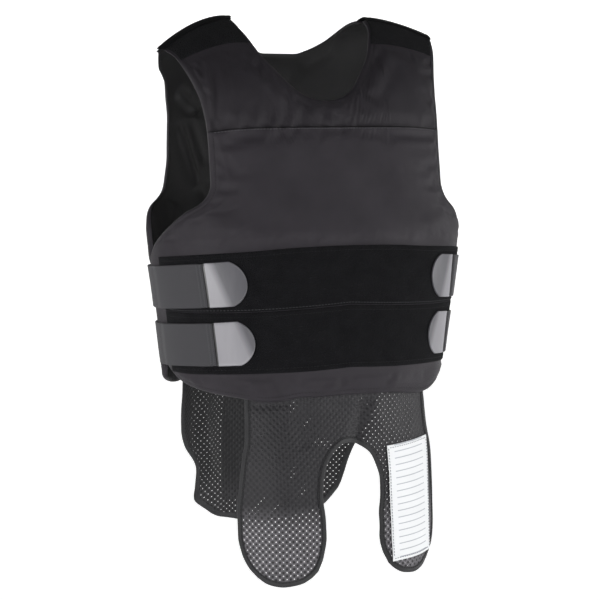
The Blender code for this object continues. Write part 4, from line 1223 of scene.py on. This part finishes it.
LABEL_CORNERS = np.array([(0.050, -0.603), (0.121, -0.601), (0.117, -0.468), (0.048, -0.472)])
LABEL_WIDE = 0.070
LABEL_TALL = 0.132
LABEL_COLUMNS = 46
LABEL_ROWS = 88
LABEL_LIFT = -0.0011
LABEL_THICK = 0.0004
LABEL_HEM = 0.0030
LABEL_HEM_THICK = 0.0003
LABEL_BUCKLE = 0.0002
LABEL_BUCKLES = 40
LABEL_SEAM_SHARE = 0.955
LABEL_STITCH = (0.0022, 0.0012)
RULED_PITCH = 0.0075
RULED_HALF = 0.075
RULED_REACH = 0.36


def near_middle(tree, value, half):
    """1 where a value is within half of 0.5, and 0 elsewhere."""
    away = math(tree, "ABSOLUTE", math(tree, "SUBTRACT", value, 0.5))
    return math(tree, "LESS_THAN", away, half)


def label_finish():
    """White woven cloth with thin grey ruled lines between its hems."""
    made, tree, shader, cloth = finish("white_woven_label", 0.55, sheen=0.1, specular=0.3)
    weave = math(tree, "MULTIPLY", threads(tree, cloth, 0.0006), threads(tree, cloth, 0.0006, direction="Y"))
    split = node(tree, "ShaderNodeSeparateXYZ", {0: cloth})
    down = math(tree, "FRACT", math(tree, "DIVIDE", split.outputs["Y"], RULED_PITCH))
    ruled = near_middle(tree, down, RULED_HALF)
    within = near_middle(tree, split.outputs["X"], RULED_REACH)
    share = math(tree, "MULTIPLY", math(tree, "MULTIPLY", ruled, within), 0.80)
    coloured(tree, shader, share, (0.67, 0.68, 0.69), (0.26, 0.28, 0.32))
    relief(tree, shader, weave, 0.0001, 0.4)
    return made


share_across, share_up = np.meshgrid(np.linspace(0, 1, LABEL_COLUMNS), np.linspace(0, 1, LABEL_ROWS))
inner_bottom, outer_bottom, outer_top, inner_top = LABEL_CORNERS
label_low = (1 - share_across)[..., None] * inner_bottom + share_across[..., None] * outer_bottom
label_high = (1 - share_across)[..., None] * inner_top + share_across[..., None] * outer_top
label_pattern = label_low + share_up[..., None] * (label_high - label_low)
label_edge = np.minimum(np.minimum(share_across, 1 - share_across) * LABEL_WIDE,
                        np.minimum(share_up, 1 - share_up) * LABEL_TALL)
label_swell = LABEL_HEM_THICK * (1 - ramp(label_edge, LABEL_HEM, LABEL_HEM + 0.001))
label_swell += LABEL_BUCKLE * np.sin(share_up * LABEL_BUCKLES) * ramp(label_edge, LABEL_HEM, 4 * LABEL_HEM)
label = stand_in(layered(
    "label_cloth", np.stack([share_across, share_up * LABEL_TALL], axis=-1),
    tail_place(label_pattern, LABEL_LIFT + LABEL_THICK + label_swell, False).reshape(-1, 3),
    tail_place(label_pattern, LABEL_LIFT, False).reshape(-1, 3), [label_finish()],
), "label")
label_centre = LABEL_CORNERS.mean(axis=0)
label_seam = label_centre + (LABEL_CORNERS[[0, 1, 2, 3, 0]] - label_centre) * LABEL_SEAM_SHARE
label_thread = sew(
    "label_stitches",
    [running(label_seam[k : k + 2], LABEL_LIFT + LABEL_THICK + LABEL_HEM_THICK + STITCH_THICK,
             lambda places, lift: tail_place(places, lift, False), *LABEL_STITCH) for k in range(4)],
    thread_finish("grey_thread", (0.20, 0.21, 0.24)),
)


# Loop bands: two strips of black loop pile across the belly, folded under at their edges and stitched down
# onto the front panel. The hook tabs press onto them.

BAND = table(
    "across top     seam    bottom",
    (0.000, -0.2460, -0.3100, -0.3785),
    (0.055, -0.2470, -0.3130, -0.3810),
    (0.110, -0.2500, -0.3150, -0.3825),
    (0.150, -0.2515, -0.3155, -0.3840),
    (0.190, -0.2535, -0.3160, -0.3860),
    (0.221, -0.2560, -0.3160, -0.3860),
)
BAND_END = 0.2125
BAND_LIFT = PAD_THICK + 0.0006
BAND_THICK = 0.0011
BAND_HEM = 0.0050
BAND_COLUMNS = 300
BAND_ROWS = 50
BAND_STITCH_ENDS = 6
SEAM_CLEAR = 0.0006
PILE_HEIGHT = 0.00007
PILE_SEED = 11


def pile_finish():
    """Loop pile: a dull black fuzz of small loops that lie every way."""
    made, tree, shader, cloth = finish(
        "black_loop_pile", 0.95, sheen=0.02, sheen_roughness=0.6, specular=0.04)
    loops = node(tree, "ShaderNodeTexVoronoi", {"Vector": cloth, "Scale": 900.0, "Randomness": 1.0})
    tuft = loops.outputs["Distance"]
    worn = mottle(tree, cloth, 60.0, 6.0)
    coloured(tree, shader, worn, (0.0030, 0.0030, 0.0036), (0.0085, 0.0085, 0.0096))
    relief(tree, shader, tuft, 0.0008, 1.0)
    return made


LOOP_PILE = pile_finish()
pile_random = np.random.default_rng(PILE_SEED)


def pile(shape):
    """The uneven height of loop pile: seeded random numbers, averaged with their neighbours."""
    rough = pile_random.normal(size=shape)
    return PILE_HEIGHT * (rough + np.roll(rough, 1, 0) + np.roll(rough, 1, 1)) / 1.7


def loop_band(node_name, upper, lower):
    """One strip between two of the band table's lines, with a hem that is a little thicker all round."""
    across = np.linspace(-BAND_END, BAND_END, BAND_COLUMNS)
    high = smooth(BAND["across"], BAND[upper], np.abs(across))
    low = smooth(BAND["across"], BAND[lower], np.abs(across)) + (SEAM_CLEAR if lower == "seam" else 0.0)
    up = np.linspace(0, 1, BAND_ROWS)[:, None]
    height = low + up * (high - low)
    pattern = np.stack([np.broadcast_to(across, height.shape), height], axis=-1)
    edge = np.minimum(np.minimum(up, 1 - up) * (high - low), BAND_END - np.abs(across))
    hem = ramp(edge, 0.0, 0.0010) - 0.25 * ramp(edge, BAND_HEM, BAND_HEM + 0.0015)
    fuzz = pile(height.shape) * ramp(edge, BAND_HEM, BAND_HEM + 0.002)
    top = BAND_LIFT + 0.0005 + (BAND_THICK - 0.0005) * hem + fuzz
    made = layered(f"{node_name}_pile", pattern, laid(pattern, top), laid(pattern, BAND_LIFT), [LOOP_PILE])
    stand_in(made, node_name)
    return np.stack([across, low], axis=-1), np.stack([across, high], axis=-1)


def band_stitches(line, shift, lift, *stitch):
    """A run of stitches a little above or below one edge of a band, short of its ends."""
    return running((line + (0, shift))[BAND_STITCH_ENDS:-BAND_STITCH_ENDS], lift, False, *stitch)


upper_low, upper_high = loop_band("loop_band_upper", "top", "seam")
lower_low, lower_high = loop_band("loop_band_lower", "seam", "bottom")
hems = ((upper_high, -BAND_HEM), (lower_low, BAND_HEM), (lower_high, -BAND_HEM))
sew("loop_band_stitches", [band_stitches(*hem, BAND_LIFT + BAND_THICK) for hem in hems],
    thread_finish("black_thread", (0.006, 0.006, 0.007)))
sew("loop_band_seam_stitches",
    [band_stitches(upper_low, 0.0022, BAND_LIFT + BAND_THICK + 0.0001, *SHORT_STITCH)],
    thread_finish("seam_thread", (0.050, 0.050, 0.054)))


# Side straps: two inch elastic webbing from the back panel round each side, sewn down at the back with two
# lines of stitches. A hook tab with a rounded end is sewn to the front end of each with two rows of zigzag,
# and grips the loop band.

STRAPS = {
    "upper": {"tip": 0.114, "joint": 0.156},
    "lower": {"tip": 0.107, "joint": 0.148},
}
STRAP_MIDDLE = table(
    "across upper    lower",
    (0.107, -0.2826, -0.3475),
    (0.150, -0.2849, -0.3502),
    (0.190, -0.2870, -0.3525),
    (0.237, -0.2906, -0.3564),
    (0.300, -0.2930, -0.3590),
    (0.400, -0.2940, -0.3600),
)
STRAP_HALF = 0.0242
STRAP_THICK = 0.0014
STRAP_BACK_END = 0.112
STRAP_COLUMNS = 160
STRAP_ROWS = 33
STRAP_ROUND = 0.0009
STRAP_NECK = 0.0006
STRAP_NECK_REACH = 0.006
TAB_RADIUS = 0.0263
TAB_BLUNT = 4
TAB_TURN = 67
TAB_REACH = 0.0008
JOINT_SLANT = 0.095
JOINT_FADE = 0.030
JOINT_GROOVE = 0.0017
JOINT_GROOVE_DEPTH = 0.0007
TAB_COLUMNS = 24
TAB_RIM = 0.00025
ZIGZAG_ROWS = (0.0014, 0.0042), (0.0048, 0.0076)
ZIGZAG_STEP = 0.0012
ZIGZAG_STEPS = 19
END_SEAMS = (0.004, 0.022)
END_SEAM_HALF = 0.021


def strap_middle(level, along):
    """The height of a strap's middle line."""
    return smooth(STRAP_MIDDLE["across"], STRAP_MIDDLE[level], along)


def elastic_finish():
    """Grey elastic webbing: ribs along the strap, fine threads across it and a fine speckle. Its colour is
    darker in the grooves between the threads: painted shade. The speckle is the yarn's own.
    """
    made, tree, shader, cloth = finish(
        "grey_elastic_webbing", 0.7, sheen=0.03, sheen_roughness=0.5, specular=0.35)
    ribs = threads(tree, cloth, 0.0016, direction="Y")
    picks = threads(tree, cloth, 0.0009)
    woven = math(tree, "ADD", math(tree, "MULTIPLY", ribs, 0.3), math(tree, "MULTIPLY", picks, 0.7))
    speckle = spread(tree, mottle(tree, cloth, 1400.0, 2.0), 0.3, 0.7, 0.0, 0.55)
    # Darker in the grooves of the weave: painted shade. The speckle is the yarn's own.
    tone = math(tree, "ADD", math(tree, "MULTIPLY", woven, 0.4), speckle)
    coloured(tree, shader, tone, (0.0145, 0.0141, 0.0164), (0.0360, 0.0350, 0.0398))
    relief(tree, shader, woven, 0.0002, 0.6)
    return made


# The slant and the span of the painted highlight on the hook tabs.
HOOK_HIGHLIGHT_SLANT = 0.40
HOOK_PAINTED_HIGHLIGHT = (0.250, 0.259, 0.0, 0.66)


def hook_finish(level):
    """The smooth back of hook tape: satin grey with a faint grid from the hooks moulded behind it. It is
    painted paler towards its seam, past a slanted line: the place along the strap less a share of its height.
    This is a painted highlight of the satin's shine. In the groove at the seam it is dark: painted shadow."""
    made, tree, shader, cloth = finish(f"grey_hook_tape_{level}", 0.34, specular=0.4)
    grid = math(tree, "MULTIPLY", threads(tree, cloth, 0.0011), threads(tree, cloth, 0.0014, direction="Y"))
    stretch = {"Vector": cloth, "Rotation": (0, 0, 0.6), "Scale": (1.0, 0.15, 1.0)}
    brushed = mottle(tree, node(tree, "ShaderNodeMapping", stretch).outputs[0], 90.0, 6.0)
    split = node(tree, "ShaderNodeSeparateXYZ", {0: cloth})
    along, height = split.outputs["X"], split.outputs["Y"]
    slanted = math(tree, "SUBTRACT", along, math(tree, "MULTIPLY", height, HOOK_HIGHLIGHT_SLANT))
    # Paler past the slanted line: painted highlight. The brushed streaks are the tape's own.
    tone = math(tree, "ADD", spread(tree, slanted, *HOOK_PAINTED_HIGHLIGHT), math(tree, "MULTIPLY", brushed, 0.30))
    joint = STRAPS[level]["joint"]
    above = math(tree, "SUBTRACT", height, float(strap_middle(level, joint)))
    near = math(tree, "SUBTRACT", along, math(tree, "MULTIPLY", above, JOINT_SLANT))
    # Dark in the groove where the tab meets the elastic: painted shadow.
    groove = spread(tree, near, joint - JOINT_GROOVE - 0.0004, joint - JOINT_GROOVE)
    colour = colour_mix(tree, tone, (0.034, 0.033, 0.040), (0.205, 0.200, 0.218))
    coloured(tree, shader, groove, colour, PAINTED_SHADE_BLACK)
    tree.links.new(spread(tree, brushed, 0.3, 0.7, 0.28, 0.42), shader.inputs["Roughness"])
    relief(tree, shader, math(tree, "ADD", grid, math(tree, "MULTIPLY", brushed, 2.0)), 0.0001, 0.35)
    return made


ELASTIC = elastic_finish()
HOOKS = {level: hook_finish(level) for level in STRAPS}


def strap_lift(across):
    """The underside of a side strap: on the panels, and higher over the loop bands."""
    on_band = BAND_LIFT + BAND_THICK + 0.0006
    on_panel = BAND_LIFT
    return on_band + (on_panel - on_band) * ramp(across, BAND_END + 0.003, BAND_END + 0.016)


def strip(name, along, level, half, sign, finish_used, relief_of):
    """A flat strip round the side, from its middle line and half widths, sheared to the slant of the joint.
    Its edges are rounded, and relief_of gives the extra height of each place from its place along and its
    distance from the edge."""
    middle = strap_middle(level, along)
    share = np.sin(np.linspace(-np.pi / 2, np.pi / 2, STRAP_ROWS))[:, None]
    height = middle + share * half
    behind = ramp(along, STRAPS[level]["joint"], STRAPS[level]["joint"] + JOINT_FADE)
    around = along + JOINT_SLANT * (height - middle) * (1 - behind)
    edge = (1 - np.abs(share)) * half
    rounded = np.sqrt(1 - (1 - np.clip(edge / STRAP_ROUND, 0, 1)) ** 2)
    straight = np.broadcast_to(along, height.shape)
    under = strap_lift(around)
    top = under + STRAP_THICK * (0.45 + 0.55 * rounded) + relief_of(straight, edge)
    pattern = np.stack([around, height], axis=-1)
    on_side = pattern * (sign, 1)
    return layered(name, pattern, laid(on_side, top), laid(on_side, under), [finish_used])


def elastic_relief(joint, end):
    """Elastic is drawn in a little where it is sewn, and its ribs gather there."""
    def raise_by(around, edge):
        sewn = np.exp(-(((around - joint) / 0.010) ** 2)) + np.exp(-(((around - end) / 0.012) ** 2))
        return 0.00010 * np.sin(around * 2 * np.pi / 0.0030) * sewn
    return raise_by


def tab_relief(joint):
    """The tab's moulded rim, a millimetre wide, and the groove where it goes under the end of the elastic."""
    def raise_by(around, edge):
        groove = ramp(around, joint - JOINT_GROOVE - 0.0003, joint - JOINT_GROOVE)
        return TAB_RIM * (1 - ramp(edge, 0.0010, 0.0020)) - JOINT_GROOVE_DEPTH * groove
    return raise_by


def side_strap(level, side):
    """An elastic strap with its hook tab, and the stitches that join them and hold the strap's back end."""
    sign = -1 if side == "right" else 1
    tip, joint = STRAPS[level]["tip"] - TAB_REACH, STRAPS[level]["joint"]
    back_middle = float(STRAP_MIDDLE[level][-1])
    end = float(half_girth(back_middle)) - STRAP_BACK_END
    from_joint = np.linspace(joint, end, STRAP_COLUMNS) - joint
    half = STRAP_HALF - STRAP_NECK * np.exp(-((from_joint / STRAP_NECK_REACH) ** 2))
    along = np.linspace(joint + 0.0004, end, STRAP_COLUMNS)
    strap = strip(
        f"strap_{level}_{side}_elastic", along, level, half, sign, ELASTIC, elastic_relief(joint, end))
    stand_in(strap, f"strap_{level}_{side}")
    turn = np.radians(np.linspace(TAB_BLUNT, TAB_TURN, TAB_COLUMNS))
    round_end = tip + TAB_RADIUS * (1 - np.cos(turn))
    groove = joint - JOINT_GROOVE
    straight = np.linspace(round_end[-1], groove - 0.0003, TAB_COLUMNS)[1:]
    straight = np.concatenate([straight, groove + np.array([0.0, 0.0006, JOINT_GROOVE - 0.0002])])
    half = np.concatenate([TAB_RADIUS * np.sin(turn), np.full(straight.shape, STRAP_HALF)])
    along = np.concatenate([round_end, straight])
    tab = strip(f"tab_{level}_{side}_hook", along, level, half, sign, HOOKS[level], tab_relief(joint))
    stand_in(tab, f"tab_{level}_{side}")
    steps = np.arange(-ZIGZAG_STEPS, ZIGZAG_STEPS + 1) * ZIGZAG_STEP
    middle = float(strap_middle(level, joint))
    on_strap = STRAP_THICK + 0.0002
    runs = []
    for near, far in ZIGZAG_ROWS:
        zig = joint + np.where(np.arange(len(steps)) % 2 == 0, near, far) + JOINT_SLANT * steps
        turns = np.stack([zig, middle + steps], axis=-1) * (sign, 1)
        runs.append((turns[:-1], turns[1:], strap_lift(zig[:-1]) + on_strap, False))
    for inward in END_SEAMS:
        line = np.array([(end - inward, back_middle + way * END_SEAM_HALF) for way in (-1, 1)])
        runs.append(running(line * (sign, 1), strap_lift(end) + on_strap, False))
    return runs


strap_runs = []
for wearer_side in ("right", "left"):
    strap_runs += side_strap("upper", wearer_side)
    strap_runs += side_strap("lower", wearer_side)
sew("strap_stitches", strap_runs, thread_finish("charcoal_thread", (0.075, 0.075, 0.081)))


# Shoulder straps: doubled nylon, sewn to the back panel and laid over the ridge of the shoulder onto a patch
# of loop pile on the front, where hooks on the strap's underside hold it.

SHOULDER_PATCH = table(
    "height inner outer",
    (-0.021, 0.0760, 0.1570), (0.000, 0.0850, 0.1630), (0.020, 0.0890, 0.1690),
)
SHOULDER_STRAP_BACK = table(
    "height inner outer",
    (-0.030, 0.0840, 0.1500), (0.000, 0.0870, 0.1600), (RIDGE_HEIGHT, 0.0890, 0.1690),
)
SHOULDER_STRAP_FRONT = table(
    "height inner outer",
    (0.002, 0.0865, 0.1640), (0.014, 0.0885, 0.1675), (RIDGE_HEIGHT, 0.0890, 0.1690),
)
SHOULDER_GAP = 0.0003
LOOP_PATCH_THICK = 0.0009
SHOULDER_STRAP_THICK = 0.0013
STRAP_FRONT_END = 0.0125
STRAP_REAR_END = -0.030
PATCH_LOW, PATCH_HIGH = -0.021, 0.020
LOOP_PATCH_ROWS = 34
LOOP_PATCH_COLUMNS = 60
SHOULDER_REAR_ROWS = 42
SHOULDER_FORE_ROWS = 18
SHOULDER_COLUMNS = 50
BLACK_NYLON = nylon_finish(
    "black_nylon", (0.0032, 0.0032, 0.0036), (0.0060, 0.0060, 0.0067), 0.66, specular=0.05)
STRAP_PULLS = table(
    "across height  size   step_across step_height",
    (-0.089, 0.030,  0.014, 0.0075,     0.0000),
    (-0.172, 0.030,  0.020, -0.0070,    0.0000),
)


def between(edges, height, columns):
    """A grid between the inner and outer edge of a table, at the given heights."""
    inner = smooth(edges["height"], edges["inner"], height)[:, None]
    outer = smooth(edges["height"], edges["outer"], height)[:, None]
    across = inner + (outer - inner) * np.linspace(0, 1, columns)
    return np.stack([across, np.broadcast_to(height[:, None], across.shape)], axis=-1)


def to_nearer_end(count):
    """For each of a row of places, its share of the row's length from the nearer end."""
    return np.minimum(np.linspace(0, 1, count), np.linspace(1, 0, count))


def shoulder_patch(side):
    """The loop patch on the front of one shoulder. Its top end lies under the strap."""
    sign = -1 if side == "right" else 1
    heights = np.linspace(PATCH_LOW, PATCH_HIGH, LOOP_PATCH_ROWS)
    pattern = between(SHOULDER_PATCH, heights, LOOP_PATCH_COLUMNS) * (sign, 1)
    from_low = np.linspace(0, 1, LOOP_PATCH_ROWS)[:, None] * (PATCH_HIGH - PATCH_LOW)
    edge = np.minimum(from_low, to_nearer_end(LOOP_PATCH_COLUMNS) * 0.08)
    lift = full_thickness(pattern[..., 0], pattern[..., 1]) + SHOULDER_GAP
    top = lift + LOOP_PATCH_THICK * (0.5 + 0.5 * ramp(edge, 0, 0.001))
    top += pile(edge.shape) * ramp(edge, 0.002, 0.004)
    name = f"shoulder_patch_{side}"
    made = layered(f"{name}_pile", pattern, laid(pattern, top), laid(pattern, lift), [LOOP_PILE])
    stand_in(made, name)


def shoulder_strap(side):
    """A strap from its seam on the back panel, over the shoulder, down onto the loop patch. It is a little
    thicker at its folded ends and edges."""
    sign = -1 if side == "right" else 1
    rear_heights = np.linspace(STRAP_REAR_END, RIDGE_HEIGHT, SHOULDER_REAR_ROWS)
    fore_heights = np.linspace(RIDGE_HEIGHT, STRAP_FRONT_END, SHOULDER_FORE_ROWS)[1:]
    rear_grid, fore_grid = (
        pulled(between(edges, heights, SHOULDER_COLUMNS) * (sign, 1), STRAP_PULLS)
        for edges, heights in ((SHOULDER_STRAP_BACK, rear_heights), (SHOULDER_STRAP_FRONT, fore_heights)))
    over_patch = LOOP_PATCH_THICK + 0.0003
    rear_lift = full_thickness(rear_grid[..., 0], rear_grid[..., 1]) + SHOULDER_GAP
    rear_lift += over_patch * ramp(rear_grid[..., 1], -0.005, RIDGE_HEIGHT)
    fore_lift = full_thickness(fore_grid[..., 0], fore_grid[..., 1]) + SHOULDER_GAP + over_patch
    split = len(rear_heights)
    rows = split + len(fore_heights)
    from_end = np.minimum(np.arange(rows), np.arange(rows)[::-1])[:, None] * 0.0014
    edge = np.minimum(from_end, to_nearer_end(SHOULDER_COLUMNS) * 0.078)
    swell = SHOULDER_STRAP_THICK * (0.55 + 0.45 * ramp(edge, 0, 0.0015))
    swell -= 0.0004 * np.exp(-(((edge - 0.005) / 0.001) ** 2))
    layers = []
    for extra in (swell, np.zeros_like(swell)):
        rear = laid(rear_grid, rear_lift + extra[:split], back=True)
        layers.append(np.concatenate([rear, laid(fore_grid, fore_lift + extra[split:])]))
    flat = np.concatenate([rear_grid, fore_grid * (1, -1) + (0, 2 * RIDGE_HEIGHT)])
    name = f"shoulder_strap_{side}"
    stand_in(layered(f"{name}_cloth", flat, *layers, [BLACK_NYLON]), name)


for wearer_side in ("right", "left"):
    shoulder_patch(wearer_side)
    shoulder_strap(wearer_side)


# The studio: a pale round floor that curves up into a glowing paper wall, two soft boxes, and the camera at
# the photograph's angle.

FLOOR_HEIGHT = -0.78
FLOOR_RADIUS = 3.4
FLOOR_BEND = 1.6
WALL_HEIGHT = 2.6
PAPER_GLOW = 0.64
ROOM_LIGHT = 0.08
TARGET = Vector((0.0, -0.018, -0.316))
CAMERA_AZIMUTH = np.radians(-25)
CAMERA_RISE = np.radians(5.8)
CAMERA_DISTANCE = 2.1
CAMERA_LENS = 106.8


def backdrop():
    """A floor that turns up all round in a quarter round: a line turned about the vertical axis."""
    turn = np.radians(np.linspace(0, 90, 16))
    radius = np.concatenate([[0.001], FLOOR_RADIUS + FLOOR_BEND * np.sin(turn), [FLOOR_RADIUS + FLOOR_BEND]])
    rise = np.concatenate([[0.0], FLOOR_BEND * (1 - np.cos(turn)), [WALL_HEIGHT]]) + FLOOR_HEIGHT
    around = np.linspace(0, 2 * np.pi, 97)
    x, y = radius[:, None] * np.cos(around), radius[:, None] * np.sin(around)
    points = np.stack([x, y, np.broadcast_to(rise[:, None], x.shape)], axis=-1).reshape(-1, 3)
    return points, quads(len(radius), len(around))[:, ::-1]


paper = bpy.data.materials.new("pale_paper")
paper.use_nodes = True
paper_shader = paper.node_tree.nodes["Principled BSDF"]
paper_shader.inputs["Base Color"].default_value = (0.88, 0.88, 0.88, 1)
paper_shader.inputs["Roughness"].default_value = 0.9
paper_shader.inputs["Emission Color"].default_value = (1.0, 1.0, 1.0, 1)
paper_shader.inputs["Emission Strength"].default_value = PAPER_GLOW
floor_points, floor_faces = backdrop()
floor = make_piece("floor", floor_points, floor_faces, floor_points[:, :2], [paper])

LIGHTS = table(
    "x     y     z     to_x to_y  to_z   size power",
    (-2.2, -1.3, -0.4, 0.0, 0.0,  -0.32, 1.0, 36),
    (2.2,  -1.4, -0.3, 0.0, 0.0,  -0.32, 1.0, 33),
)


def soft_light(number, x, y, z, to_x, to_y, to_z, size, power):
    """A square soft box turned towards a point on the vest."""
    lamp = bpy.data.lights.new(f"soft_box_{number}", "AREA")
    lamp.energy = power
    lamp.size = size
    box = bpy.data.objects.new(lamp.name, lamp)
    box.location = (x, y, z)
    box.rotation_mode = "QUATERNION"
    box.rotation_quaternion = (Vector((to_x, to_y, to_z)) - box.location).to_track_quat("-Z", "Y")
    bpy.context.collection.objects.link(box)


for number, row in enumerate(zip(*LIGHTS.values())):
    soft_light(number, *row)

world = bpy.data.worlds.new("studio")
world.use_nodes = True
world.node_tree.nodes["Background"].inputs["Color"].default_value = (1.0, 1.0, 1.0, 1)
world.node_tree.nodes["Background"].inputs["Strength"].default_value = ROOM_LIGHT
bpy.context.scene.world = world
bpy.context.scene.view_settings.view_transform = "Standard"

lens = bpy.data.cameras.new("camera")
lens.lens = CAMERA_LENS
lens.sensor_width = 36
camera = bpy.data.objects.new("camera", lens)
towards = Vector((np.sin(CAMERA_AZIMUTH) * np.cos(CAMERA_RISE), -np.cos(CAMERA_AZIMUTH) * np.cos(CAMERA_RISE),
                  np.sin(CAMERA_RISE)))
camera.location = TARGET + towards * CAMERA_DISTANCE
camera.rotation_mode = "QUATERNION"
camera.rotation_quaternion = (-towards).to_track_quat("-Z", "Y")
bpy.context.collection.objects.link(camera)
bpy.context.scene.camera = camera
